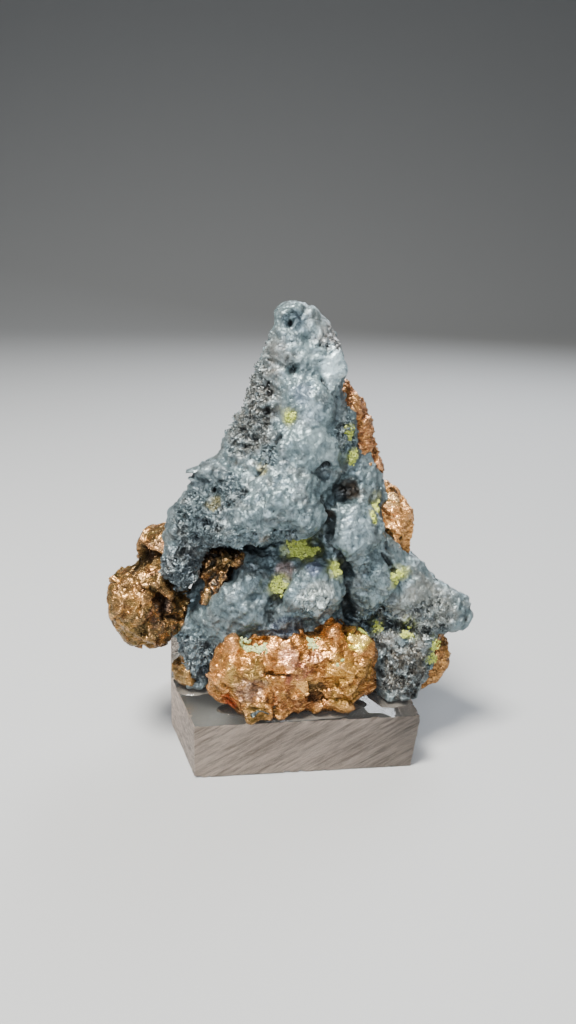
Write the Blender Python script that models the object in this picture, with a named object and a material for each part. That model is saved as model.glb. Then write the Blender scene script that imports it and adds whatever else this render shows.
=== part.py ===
"""Native silver grown together with native copper, fixed on a small clear acrylic block.

The specimen is a spire about 4 cm tall. Tarnished silver makes the spire, a diagonal ridge down
its front, a left arm, a right arm and the bulges below. Native copper shows in five masses: at the
front foot, at the left end, along the right edge, at the lower right and in a nub by the left foot.
Silver and copper grew as one piece of metal, so they are one solid. The block is hand-sawn from
quarter-inch sheet, and four thin pads of clear adhesive fix the metal to it.

Frame: the origin is the middle of the block's underside, X runs along the block's front edge,
-Y faces the viewer and +Z is up. Sizes are in millimetres, and MM turns them into metres.
"""

from math import radians
from typing import NamedTuple

import bmesh
import bpy
from mathutils import Euler, Matrix, Vector

MM = 0.001

# Acrylic block
BLOCK_WIDTH = 26.0
BLOCK_DEPTH = 21.0
BLOCK_HEIGHT = 6.0
EDGE_BREAK = 0.15
END_SLANT = 0.7
CORNER_CUT_WIDTH = 2.4
CORNER_CUT_DEPTH = 10.5

# Adhesive pads, with a small gap below and above each
GAP = 0.15
PAD_THICKNESS = 0.3
PAD_SIDES = 24
PAD_TAPER = 0.93
SEAT_HEIGHT = BLOCK_HEIGHT + GAP + PAD_THICKNESS + GAP
SEAT_MARGIN = 0.3

# Skin of the metal: size of its cells, and the share of its faces that is kept
CELL = 0.5
KEPT_FACES = 0.235
SOFTENING_PASSES = 3


class Lump(NamedTuple):
    """An ellipsoid: its middle, its half widths, and its turn about X, Y and Z in degrees."""

    at: tuple
    half: tuple
    turn: tuple = (0, 0, 0)


class Relief(NamedTuple):
    """A layer of soft knobs all over the metal: how wide they are and how far they stand out."""

    name: str
    width: float
    height: float


class Pad(NamedTuple):
    """An oval pad of adhesive: its middle and its half widths on the block's top."""

    name: str
    middle: tuple
    half: tuple


# Inside, under everything else
CORE = (
    Lump((0.5, 0.6, 25.0), (7.5, 4.4, 9.0)),
    Lump((1.0, 0.4, 15.5), (10.5, 5.6, 7.5)),
    Lump((3.0, -0.5, 12.2), (8.5, 5.0, 4.8)),
)

# Top of the specimen, with hackly ledges down its left flank
SPIRE = (
    Lump((0.5, -1.2, 44.4), (2.8, 2.3, 3.1)),
    Lump((-0.8, -1.2, 45.0), (1.4, 1.7, 1.8)),
    Lump((1.4, -1.4, 42.4), (3.0, 2.5, 3.4)),
    Lump((0.5, -1.0, 40.0), (4.3, 3.6, 5.0)),
    Lump((3.3, -1.8, 41.3), (1.9, 2.2, 2.9)),
    Lump((-2.2, -0.8, 38.2), (2.2, 2.8, 3.2)),
    Lump((-3.6, -0.6, 35.6), (2.3, 2.4, 1.1)),
    Lump((-3.0, -0.8, 37.4), (2.0, 2.0, 1.0)),
    Lump((1.0, -0.6, 36.0), (5.0, 4.4, 6.0)),
    Lump((-3.0, -0.5, 32.6), (4.3, 3.8, 3.6)),
    Lump((4.6, -0.4, 33.0), (3.0, 3.6, 4.8)),
)

# Ridge that runs from the tip down to the left and ends in an overhanging rim
RIDGE = (
    Lump((1.2, -3.4, 36.4), (2.7, 2.6, 4.6), (0, 12, 0)),
    Lump((0.2, -3.9, 31.8), (4.2, 3.6, 5.0), (0, 18, 0)),
    Lump((-1.0, -4.8, 28.4), (4.2, 4.0, 4.0)),
    Lump((-4.6, -4.7, 26.5), (5.0, 3.7, 2.9), (0, -14, 0)),
    Lump((-0.3, -5.6, 27.2), (3.1, 3.5, 2.7)),
)

# Arm to the left, with a thin ledge on top and a hanging end
LEFT_ARM = (
    Lump((-6.4, -1.6, 29.0), (4.0, 3.2, 2.6), (0, 10, 0)),
    Lump((-8.5, -2.6, 30.8), (2.0, 2.1, 1.0), (0, 12, 0)),
    Lump((-8.0, -2.4, 26.0), (4.0, 3.4, 3.3)),
    Lump((-10.6, -2.4, 24.3), (2.6, 2.8, 2.8)),
    Lump((-11.6, -2.8, 21.0), (2.2, 2.5, 3.3)),
)

# Bulge below the rim, which runs down to the left foot
LOWER_LEFT = (
    Lump((-4.8, -2.9, 17.2), (5.2, 4.6, 4.4), (0, -8, 0)),
    Lump((-3.7, -3.2, 18.9), (3.3, 3.8, 3.7), (0, 24, 0)),
    Lump((-7.6, -1.6, 14.6), (3.4, 4.0, 4.6)),
    Lump((-9.4, -1.4, 12.2), (2.6, 3.2, 4.4), (0, 14, 0)),
    Lump((-10.2, -1.4, 8.2), (2.2, 3.0, 3.2)),
)

# Rounded bulge in the middle
CENTRE = (
    Lump((1.7, -4.6, 18.6), (3.9, 4.3, 3.7)),
    Lump((1.5, -6.0, 20.2), (1.8, 2.6, 1.9)),
    Lump((-1.6, -3.0, 15.2), (4.6, 4.6, 3.8)),
)

# Tongue to the right of the ridge
RIGHT_TONGUE = (
    Lump((6.0, -4.0, 24.4), (3.2, 4.1, 4.7), (0, -12, 0)),
    Lump((6.8, -0.8, 28.2), (3.2, 3.0, 4.2)),
    Lump((8.6, -3.0, 19.2), (3.8, 4.0, 4.2)),
)

# Arm that reaches past the block on the right
RIGHT_ARM = (
    Lump((11.4, -3.0, 17.4), (4.2, 3.6, 3.9), (0, 24, 0)),
    Lump((15.2, -3.3, 15.2), (4.0, 2.9, 2.9), (0, 24, 0)),
    Lump((17.9, -3.6, 14.7), (2.2, 2.4, 2.3)),
)

# Mass below the right arm, down to the right foot
LOWER_RIGHT = (
    Lump((12.0, -4.2, 11.2), (3.5, 3.8, 4.6)),
    Lump((11.4, -5.0, 7.6), (2.9, 3.8, 3.0)),
)

# Copper across the front foot, with a peak on its right and a toe over the block's front edge
COPPER_FRONT = (
    Lump((-0.3, -6.9, 9.9), (8.3, 3.4, 4.3)),
    Lump((-4.9, -6.9, 9.9), (3.6, 3.5, 3.6)),
    Lump((-6.3, -7.4, 11.6), (1.7, 2.2, 2.5)),
    Lump((-3.8, -9.4, 7.3), (2.5, 2.1, 1.9)),
    Lump((0.8, -7.4, 8.6), (4.4, 3.1, 3.4)),
    Lump((4.6, -7.0, 10.2), (3.5, 3.5, 4.2)),
    Lump((3.9, -7.3, 13.8), (1.8, 2.1, 1.8)),
    Lump((6.3, -7.0, 12.2), (1.8, 2.5, 2.2)),
    Lump((6.6, -6.2, 10.4), (1.7, 2.6, 3.4)),
)

# Copper lump that hangs from the left arm
COPPER_LEFT = (
    Lump((-15.4, -1.2, 15.6), (3.9, 3.8, 4.9)),
    Lump((-13.8, -0.4, 20.4), (2.4, 2.6, 3.1)),
    Lump((-12.8, -0.8, 14.6), (2.3, 2.8, 2.5)),
)

# Copper ledges down the right edge, and the lump that they end in
COPPER_RIGHT_EDGE = (
    Lump((6.0, -0.4, 36.9), (1.3, 1.8, 2.4), (0, -12, 0)),
    Lump((7.2, 0.0, 33.8), (1.6, 2.2, 2.7), (0, -10, 0)),
    Lump((8.2, 0.2, 30.6), (1.8, 2.2, 2.2)),
    Lump((11.2, -0.6, 24.6), (1.9, 2.8, 4.1), (0, -16, 0)),
)

# Copper at the lower right, and the nub by the left foot
COPPER_SMALL = (
    Lump((16.0, -3.6, 9.4), (1.8, 2.5, 3.2)),
    Lump((14.9, -3.2, 7.6), (1.9, 2.3, 2.0)),
    Lump((-11.6, -2.6, 8.0), (1.2, 1.3, 1.4)),
)

# Back of the specimen: knobs, a diagonal ledge, a copper window and the back foot
BACK = (
    Lump((0.6, 2.2, 30.0), (5.4, 3.2, 8.6)),
    Lump((0.0, 2.4, 18.5), (9.4, 4.4, 9.0)),
    Lump((-7.6, 2.4, 21.6), (3.2, 3.0, 4.6)),
    Lump((-1.4, 4.0, 35.0), (2.6, 1.9, 4.0), (0, 10, 0)),
    Lump((3.4, 4.2, 28.6), (3.4, 2.4, 3.2), (0, 24, 0)),
    Lump((-3.6, 4.9, 26.2), (4.6, 2.4, 2.5), (0, -24, 0)),
    Lump((6.6, 4.2, 20.6), (3.6, 3.0, 3.4)),
    Lump((-6.8, 4.6, 16.6), (3.6, 3.0, 4.2)),
    Lump((0.6, 6.0, 18.0), (4.2, 2.5, 3.6), (0, 12, 0)),
    Lump((12.4, 0.0, 16.2), (4.6, 3.0, 3.8), (0, 20, 0)),
    Lump((8.0, 4.0, 12.0), (4.2, 3.4, 4.2)),
    Lump((-3.8, 5.6, 10.8), (4.8, 3.2, 4.4)),
    Lump((2.2, 5.4, 9.0), (4.4, 3.2, 3.6)),
)

SILVER = CORE + SPIRE + RIDGE + LEFT_ARM + LOWER_LEFT + CENTRE + RIGHT_TONGUE + RIGHT_ARM + LOWER_RIGHT
COPPER = COPPER_FRONT + COPPER_LEFT + COPPER_RIGHT_EDGE + COPPER_SMALL

# Hollows under the ridge's rim and beside the tongue
CAVES = (
    Lump((-8.0, -5.4, 21.0), (2.5, 4.8, 2.3), (-22, 12, 0)),
    Lump((-9.2, -5.0, 18.6), (1.4, 4.4, 2.8), (-14, 24, 0)),
    Lump((-1.0, -8.4, 23.0), (4.2, 4.4, 1.5), (0, -18, 0)),
    Lump((5.2, -6.2, 29.6), (2.0, 4.4, 1.5), (-18, 0, 0)),
    Lump((2.7, -8.0, 25.0), (0.7, 2.6, 3.6), (0, 14, 0)),
)

# Small round pits
PITS = (
    Lump((2.7, -7.4, 31.7), (1.1, 2.8, 0.9), (-18, 0, 0)),
    Lump((-0.9, -3.8, 45.0), (0.8, 1.1, 0.6)),
    Lump((18.4, -6.0, 15.2), (0.8, 1.1, 0.8)),
    Lump((-9.2, -5.4, 26.2), (1.3, 1.4, 0.8)),
)

# Narrow seams between the front masses
SEAMS = (
    Lump((-9.4, -5.4, 19.6), (0.8, 3.0, 3.2), (0, 8, 0)),
    Lump((-13.3, -4.6, 20.6), (0.5, 2.2, 3.2), (0, -10, 0)),
    Lump((-10.4, -3.8, 29.1), (1.8, 2.8, 0.5), (0, 8, 0)),
    Lump((-7.4, -5.4, 29.2), (2.8, 1.6, 0.45), (0, -8, 0)),
    Lump((-2.1, -8.4, 19.2), (0.6, 2.4, 2.8), (0, 16, 0)),
    Lump((5.5, -8.2, 18.4), (0.6, 2.6, 3.6), (0, -4, 0)),
    Lump((-3.4, -8.6, 14.6), (3.4, 1.7, 0.7), (0, 8, 0)),
    Lump((2.0, -8.8, 14.2), (2.0, 1.6, 0.7), (0, -20, 0)),
)

# Hollows in the back
BACK_HOLLOWS = (
    Lump((-1.6, 8.4, 22.2), (3.8, 2.6, 1.5), (0, -20, 0)),
    Lump((3.9, 8.2, 13.8), (2.6, 2.4, 1.4), (0, 14, 0)),
    Lump((2.4, 6.6, 33.0), (1.5, 1.8, 2.0)),
    Lump((-7.0, 8.2, 12.6), (1.6, 2.0, 1.2)),
    Lump((9.4, 7.2, 16.6), (1.8, 2.2, 1.2), (0, 20, 0)),
)

KNOBS = Relief("knobs", 2.6, 1.3)
HACKLES = Relief("hackles", 1.1, 0.7)

PADS = (
    Pad("adhesive_front", (0.0, -7.1), (7.4, 3.2)),
    Pad("adhesive_left", (-10.2, -1.3), (2.4, 3.1)),
    Pad("adhesive_right", (10.5, -4.9), (2.3, 3.7)),
    Pad("adhesive_back", (2.1, 5.2), (4.0, 3.0)),
)


def clear_scene() -> None:
    """Remove every object that the file opened with."""
    for obj in list(bpy.data.objects):
        bpy.data.objects.remove(obj, do_unlink=True)


def material(name: str, colour: tuple, roughness: float, metallic: float) -> bpy.types.Material:
    """Make a Principled material from a linear colour."""
    made = bpy.data.materials.new(name)
    made.use_nodes = True
    shader = made.node_tree.nodes["Principled BSDF"]
    shader.inputs["Base Color"].default_value = (*colour, 1.0)
    shader.inputs["Roughness"].default_value = roughness
    shader.inputs["Metallic"].default_value = metallic
    return made


def add_object(name: str, shape: bmesh.types.BMesh) -> bpy.types.Object:
    """Turn a bmesh into a named object in the scene."""
    mesh = bpy.data.meshes.new(name)
    shape.to_mesh(mesh)
    shape.free()
    obj = bpy.data.objects.new(name, mesh)
    bpy.context.collection.objects.link(obj)
    return obj


def scaled_place(middle: tuple, size: tuple, turn: tuple = (0, 0, 0)) -> Matrix:
    """Place a unit shape: its middle and size in millimetres, and its turn in degrees."""
    spun = Euler([radians(angle) for angle in turn]).to_matrix().to_4x4()
    stretched = Matrix.Diagonal((*(length * MM for length in size), 1.0))
    return Matrix.Translation(Vector(middle) * MM) @ spun @ stretched


def add_lumps(name: str, lumps: tuple) -> bpy.types.Object:
    """Make one object of overlapping ellipsoids and fuse them into one skin."""
    shape = bmesh.new()
    for lump in lumps:
        place = scaled_place(lump.at, lump.half, lump.turn)
        bmesh.ops.create_icosphere(shape, subdivisions=3, radius=1.0, matrix=place)
    obj = add_object(name, shape)
    fuse(obj, "fuse")
    return obj


def fuse(obj: bpy.types.Object, name: str) -> None:
    """Join an object's overlapping shapes into one skin of even faces."""
    skin = obj.modifiers.new(name, "REMESH")
    skin.mode = "VOXEL"
    skin.voxel_size = CELL * MM


def cut_away(obj: bpy.types.Object, name: str, cutter: bpy.types.Object) -> None:
    """Subtract a cutter, which stays out of the model, from an object."""
    cutter.hide_render = True
    cutter.display_type = "WIRE"
    cut = obj.modifiers.new(name, "BOOLEAN")
    cut.operation = "DIFFERENCE"
    cut.object = cutter


def roughen(obj: bpy.types.Object, relief: Relief) -> None:
    """Push the skin in and out in a pattern of soft knobs."""
    pattern = bpy.data.textures.new(relief.name, "CLOUDS")
    pattern.noise_scale = relief.width * MM
    layer = obj.modifiers.new(relief.name, "DISPLACE")
    layer.texture = pattern
    layer.texture_coords = "LOCAL"
    layer.strength = relief.height * MM
    layer.mid_level = 0.5


def build_specimen() -> bpy.types.Object:
    """Build the grown-together silver and copper, trimmed flat over the adhesive."""
    specimen = add_lumps("native_silver", SILVER + COPPER + BACK)
    soften = specimen.modifiers.new("soften", "SMOOTH")
    soften.factor = 0.5
    soften.iterations = SOFTENING_PASSES
    cut_away(specimen, "hollows", add_lumps("hollows", CAVES + PITS + SEAMS + BACK_HOLLOWS))
    fuse(specimen, "fuse_again")
    roughen(specimen, KNOBS)
    roughen(specimen, HACKLES)
    thin = specimen.modifiers.new("facets", "DECIMATE")
    thin.ratio = KEPT_FACES
    cut_away(specimen, "seat", build_seat())
    return specimen


def build_seat() -> bpy.types.Object:
    """Build the box that keeps the metal clear of the block and its adhesive."""
    shape = bmesh.new()
    size = (BLOCK_WIDTH + 2 * SEAT_MARGIN, BLOCK_DEPTH + 2 * SEAT_MARGIN, SEAT_HEIGHT)
    bmesh.ops.create_cube(shape, size=1.0, matrix=scaled_place((0.0, 0.0, SEAT_HEIGHT / 2), size))
    return add_object("seat", shape)


def build_pad(pad: Pad) -> bpy.types.Object:
    """Build one pad of adhesive on the block's top, a little narrower at its upper face."""
    shape = bmesh.new()
    height = BLOCK_HEIGHT + GAP + PAD_THICKNESS / 2
    place = scaled_place((*pad.middle, height), (*pad.half, PAD_THICKNESS))
    bmesh.ops.create_cone(
        shape,
        cap_ends=True,
        segments=PAD_SIDES,
        radius1=1.0,
        radius2=PAD_TAPER,
        depth=1.0,
        matrix=place,
    )
    return add_object(pad.name, shape)


def build_block() -> bpy.types.Object:
    """Build the sawn slab: its front-left corner is cut off and its right end leans in below."""
    side = BLOCK_WIDTH / 2
    back = BLOCK_DEPTH / 2
    outline = (
        (-side + CORNER_CUT_WIDTH, -back),
        (side, -back),
        (side, back),
        (-side, back),
        (-side, -back + CORNER_CUT_DEPTH),
    )
    shape = bmesh.new()
    underside = [shape.verts.new((x * MM, y * MM, 0.0)) for x, y in outline]
    grown = bmesh.ops.extrude_face_region(shape, geom=[shape.faces.new(underside)])
    top = [item for item in grown["geom"] if isinstance(item, bmesh.types.BMVert)]
    bmesh.ops.translate(shape, verts=top, vec=(0.0, 0.0, BLOCK_HEIGHT * MM))
    lower_right = [vert for vert in shape.verts if vert not in top and vert.co.x > 0]
    bmesh.ops.translate(shape, verts=lower_right, vec=(-END_SLANT * MM, 0.0, 0.0))
    bmesh.ops.recalc_face_normals(shape, faces=shape.faces)
    block = add_object("acrylic_block", shape)
    edge = block.modifiers.new("edge_break", "BEVEL")
    edge.width = EDGE_BREAK * MM
    edge.segments = 1
    return block


def main() -> None:
    """Build every piece and give it its material."""
    clear_scene()
    tarnished_silver = material("tarnished_silver", (0.16, 0.19, 0.22), 0.45, 0.8)
    clear_acrylic = material("clear_acrylic", (0.8, 0.82, 0.82), 0.1, 0.0)
    clear_adhesive = material("clear_adhesive", (0.75, 0.75, 0.7), 0.3, 0.0)
    build_specimen().data.materials.append(tarnished_silver)
    build_block().data.materials.append(clear_acrylic)
    for pad in PADS:
        build_pad(pad).data.materials.append(clear_adhesive)


if __name__ == "__main__":
    main()
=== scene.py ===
"""Looks of a native silver specimen grown together with native copper, on a clear acrylic block.

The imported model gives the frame. The metal is copied from its node, refined with relief and small
flakes, and dressed as tarnished silver. The copper masses are cut from the same copy, so they sit
where the solid says. Crusts, block and adhesive follow, then a plain studio.

Lengths in the dataclasses are in millimetres, and MM turns them into metres.
"""

from __future__ import annotations

import logging
import math
import random
from dataclasses import dataclass
from enum import Enum
from typing import Any, Callable, Sequence

import bmesh
import bpy
import numpy as np
from mathutils import Euler, Matrix, Vector, noise
from mathutils.bvhtree import BVHTree
from mathutils.kdtree import KDTree

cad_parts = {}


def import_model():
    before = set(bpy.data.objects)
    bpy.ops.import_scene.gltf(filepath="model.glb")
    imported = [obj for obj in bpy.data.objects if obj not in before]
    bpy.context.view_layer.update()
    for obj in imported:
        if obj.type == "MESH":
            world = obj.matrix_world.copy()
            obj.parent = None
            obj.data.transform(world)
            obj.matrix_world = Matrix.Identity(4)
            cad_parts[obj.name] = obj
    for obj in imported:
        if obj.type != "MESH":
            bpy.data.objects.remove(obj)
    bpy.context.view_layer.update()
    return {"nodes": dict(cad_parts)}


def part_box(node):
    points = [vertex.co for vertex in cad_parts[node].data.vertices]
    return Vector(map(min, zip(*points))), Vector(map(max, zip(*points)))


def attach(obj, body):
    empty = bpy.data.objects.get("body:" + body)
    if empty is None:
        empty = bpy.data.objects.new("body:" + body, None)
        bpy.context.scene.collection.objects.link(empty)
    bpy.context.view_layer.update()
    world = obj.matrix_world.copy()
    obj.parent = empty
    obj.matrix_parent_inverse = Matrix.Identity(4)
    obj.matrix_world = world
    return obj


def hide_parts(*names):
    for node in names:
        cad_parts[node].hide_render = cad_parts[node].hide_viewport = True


LOG = logging.getLogger("native_silver")
MM = 0.001
# Seed of the noise that bends the patterns, so that every run gives the same shapes
SEED = 4
Pair = tuple[float, float]
Triple = tuple[float, float, float]


def linear(code: str) -> tuple[float, float, float, float]:
    """Turn an sRGB hex colour into linear values.

    Args:
        code: the colour as #rrggbb.

    Returns:
        Linear red, green and blue, and an alpha of 1.
    """
    channels = [int(code[i : i + 2], 16) / 255 for i in (1, 3, 5)]
    turned = [c / 12.92 if c <= 0.04045 else ((c + 0.055) / 1.055) ** 2.4 for c in channels]
    return (turned[0], turned[1], turned[2], 1.0)


def fill(tree: bpy.types.NodeTree, node: bpy.types.Node, inputs: dict[Any, Any]) -> None:
    """Give a node's sockets their values and links.

    Args:
        tree: the node tree that the node is in.
        node: the node.
        inputs: socket to value, or to the output socket that feeds it.
    """
    for socket, value in inputs.items():
        if isinstance(value, bpy.types.NodeSocket):
            tree.links.new(value, node.inputs[socket])
        else:
            node.inputs[socket].default_value = value


def add_node(
    tree: bpy.types.NodeTree,
    kind: str,
    inputs: dict[Any, Any] | None = None,
    stops: Sequence[tuple[float, str]] = (),
    **settings: Any,
) -> bpy.types.Node:
    """Add a node with its settings, values and links.

    Args:
        tree: the node tree it goes in.
        kind: the node's type name.
        inputs: socket to value, or to the output socket that feeds it.
        stops: places and hex colours of a colour ramp.
        settings: attributes of the node.

    Returns:
        The new node.
    """
    node = tree.nodes.new(kind)
    for name, value in settings.items():
        setattr(node, name, value)
    fill(tree, node, inputs or {})
    for index, (place, code) in enumerate(stops):
        elements = node.color_ramp.elements
        stop = elements[index] if index < 1 else elements.new(place)
        stop.color = linear(code)
        if index < 1:
            stop.position = place
    return node


def start_material(
    name: str,
) -> tuple[bpy.types.Material, bpy.types.NodeTree, bpy.types.Node]:
    """Add a material with a plain shader.

    Args:
        name: the material's name.

    Returns:
        The material, its node tree and its shader.
    """
    made = bpy.data.materials.new(name)
    made.use_nodes = True
    return made, made.node_tree, made.node_tree.nodes["Principled BSDF"]


@dataclass(frozen=True)
class Lump:
    """An ellipsoid: its middle, its half widths, and its turn about X, Y and Z in degrees."""

    at: Triple
    half: Triple
    turn: Triple = (0.0, 0.0, 0.0)

    def place(self, swell: float = 0.0) -> Matrix:
        """Work out the matrix that makes a unit ball this lump.

        Args:
            swell: how much the lump is grown all round.

        Returns:
            The matrix, in metres.
        """
        spun = Euler([math.radians(angle) for angle in self.turn]).to_matrix().to_4x4()
        size = Matrix.Diagonal((*((half + swell) * MM for half in self.half), 1.0))
        return Matrix.Translation(Vector(self.at) * MM) @ spun @ size

    def outside(self, points: np.ndarray) -> np.ndarray:
        """Measure about how far points lie outside the lump.

        Args:
            points: the points, in millimetres.

        Returns:
            One distance a point, negative inside.
        """
        back = np.array(self.place().inverted())
        local = points * MM @ back[:3, :3].T + back[:3, 3]
        return (np.linalg.norm(local, axis=1) - 1.0) * min(self.half)


@dataclass(frozen=True)
class Zone:
    """A ball where a quantity is strong, fading out at its rim."""

    at: Triple
    radius: float

    def weight(self, points: np.ndarray) -> np.ndarray:
        """Return 1 at the middle, falling smoothly to 0 at the rim, for points in millimetres."""
        share = np.linalg.norm(points - np.array(self.at), axis=1) / self.radius
        return np.clip(1.0 - share * share, 0.0, 1.0) ** 2


@dataclass(frozen=True)
class Tint(Zone):
    """A zone where the skin takes another colour."""

    colour: str
    strength: float


@dataclass(frozen=True)
class Vein:
    """A tone that wanders through a skin in veins of a given width."""

    colour: str
    strength: float
    width: float


@dataclass(frozen=True)
class Swell(Zone):
    """A zone that stands out of the skin by a height, or lies below it where that is negative."""

    height: float


@dataclass(frozen=True)
class Seam:
    """A crevice between two lumps, carved along a line of points."""

    line: Sequence[Triple]
    width: float
    depth: float

    def weight(self, points: np.ndarray) -> np.ndarray:
        """Measure how near points lie to the line.

        Args:
            points: the points, in millimetres.

        Returns:
            One value a point, 1 on the line, falling smoothly to 0 at the seam's width.
        """
        nearest = np.full(len(points), math.inf)
        for start, end in zip(np.array(self.line), np.array(self.line)[1:]):
            way = end - start
            share = np.clip((points - start) @ way / (way @ way), 0.0, 1.0)
            gap = np.linalg.norm(points - start - share[:, None] * way, axis=1)
            nearest = np.minimum(nearest, gap)
        return 1.0 - rise(0.0, self.width, nearest)


@dataclass(frozen=True)
class Layer:
    """One layer of relief: its height, the width of its features, and what moves its pattern."""

    height: float
    width: float
    seed: float = 0.0

    def cast(
        self,
        kind: Callable[[np.ndarray, float, float], np.ndarray],
        points: np.ndarray,
        less: np.ndarray | float = 0.0,
    ) -> np.ndarray:
        """Work out the layer's relief with a kind of pattern.

        Args:
            kind: one of the patterns in space.
            points: the points, in millimetres.
            less: how much lower the layer is at each point.

        Returns:
            One height a point.
        """
        return (self.height - less) * kind(points, self.width, self.seed)


def strongest(zones: Sequence[Zone], points: np.ndarray) -> np.ndarray:
    """Find the highest weight of several zones.

    Args:
        zones: the zones.
        points: the points, in millimetres.

    Returns:
        One weight a point, 0 outside all the zones.
    """
    best = np.zeros(len(points))
    for zone in zones:
        best = np.maximum(best, zone.weight(points))
    return best


def rise(low: float, high: float, values: np.ndarray) -> np.ndarray:
    """Return 0 below low, 1 above high and a smooth rise between."""
    share = np.clip((values - low) / (high - low), 0.0, 1.0)
    return share * share * (3.0 - 2.0 * share)


class Pattern:
    """Patterns in space, each sampled at points in millimetres with features of a given width."""

    @staticmethod
    def sample(kind: Callable[[Vector], float], points: np.ndarray) -> np.ndarray:
        """Sample a function of place at each point."""
        return np.array([kind(Vector(point)) for point in points])

    @staticmethod
    def bend(at: Vector, amount: float, pitch: float) -> Vector:
        """Return a place moved a little, so that a pattern read there isn't regular."""
        return at + amount * noise.noise_vector(at * pitch)

    @staticmethod
    def facet(at: Vector) -> float:
        """Work out the height of a pattern of tilted facets at one place.

        Args:
            at: the place, in facet widths.

        Returns:
            The height, from about -0.3 to 0.3.
        """
        bent = Pattern.bend(at, 0.3, 0.9)
        corner = noise.voronoi(bent)[1][0]
        tilt = noise.noise_vector(corner * 7.31)
        return (bent - corner).dot(tilt)

    @staticmethod
    def waves(points: np.ndarray, width: float, seed: float = 0.0) -> np.ndarray:
        """Return soft swells from -1 to 1."""
        return Pattern.sample(noise.noise, points / width + seed)

    @staticmethod
    def rubble(points: np.ndarray, width: float, seed: float = 0.0) -> np.ndarray:
        """Return swells that carry finer swells."""
        return Pattern.sample(lambda at: noise.fractal(at, 1.0, 2.0, 4), points / width + seed)

    @staticmethod
    def ridges(points: np.ndarray, width: float, seed: float = 0.0) -> np.ndarray:
        """Sample sharp branching ridges.

        Args:
            points: the points, in millimetres.
            width: the width of a feature.
            seed: moves the pattern.

        Returns:
            One value a point, about 0 between ridges and 1 on top.
        """
        settings = (0.9, 2.1, 4, 1.0, 2.0)
        return 0.5 * Pattern.sample(
            lambda at: noise.ridged_multi_fractal(Pattern.bend(at, 0.35, 1.3), *settings),
            points / width + seed,
        )

    @staticmethod
    def dents(points: np.ndarray, width: float, seed: float = 0.0) -> np.ndarray:
        """Sample round dents with sharp rims between them.

        Args:
            points: the points, in millimetres.
            width: the width of a feature.
            seed: moves the pattern.

        Returns:
            One value a point, from about -0.45 to 0.35.
        """
        return Pattern.sample(
            lambda at: noise.voronoi(Pattern.bend(at, 0.4, 0.8))[0][0] - 0.45,
            points / width + seed,
        )

    @staticmethod
    def facets(points: np.ndarray, width: float, seed: float = 0.0) -> np.ndarray:
        """Return flat tilted facets with steps between them, from about -0.3 to 0.3."""
        return Pattern.sample(Pattern.facet, points / width + seed)

    @staticmethod
    def folds(points: np.ndarray, width: float, seed: float = 0.0) -> np.ndarray:
        """Return soft pillows with sharp creases between them, about -0.25 in a crease, to 0.5."""
        return np.abs(Pattern.waves(points, width, seed)) - 0.25

    @staticmethod
    def within(
        weight: np.ndarray, points: np.ndarray, kind: Callable[[np.ndarray], np.ndarray]
    ) -> np.ndarray:
        """Sample a pattern only where its weight isn't 0, which saves time.

        Args:
            weight: the pattern's weight at each point.
            points: the points, in millimetres.
            kind: the pattern, as a function of points.

        Returns:
            The pattern times its weight, one value a point.
        """
        values = np.zeros(len(points))
        near = weight > 0.0
        if near.any():
            values[near] = kind(points[near]) * weight[near]
        return values


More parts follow.
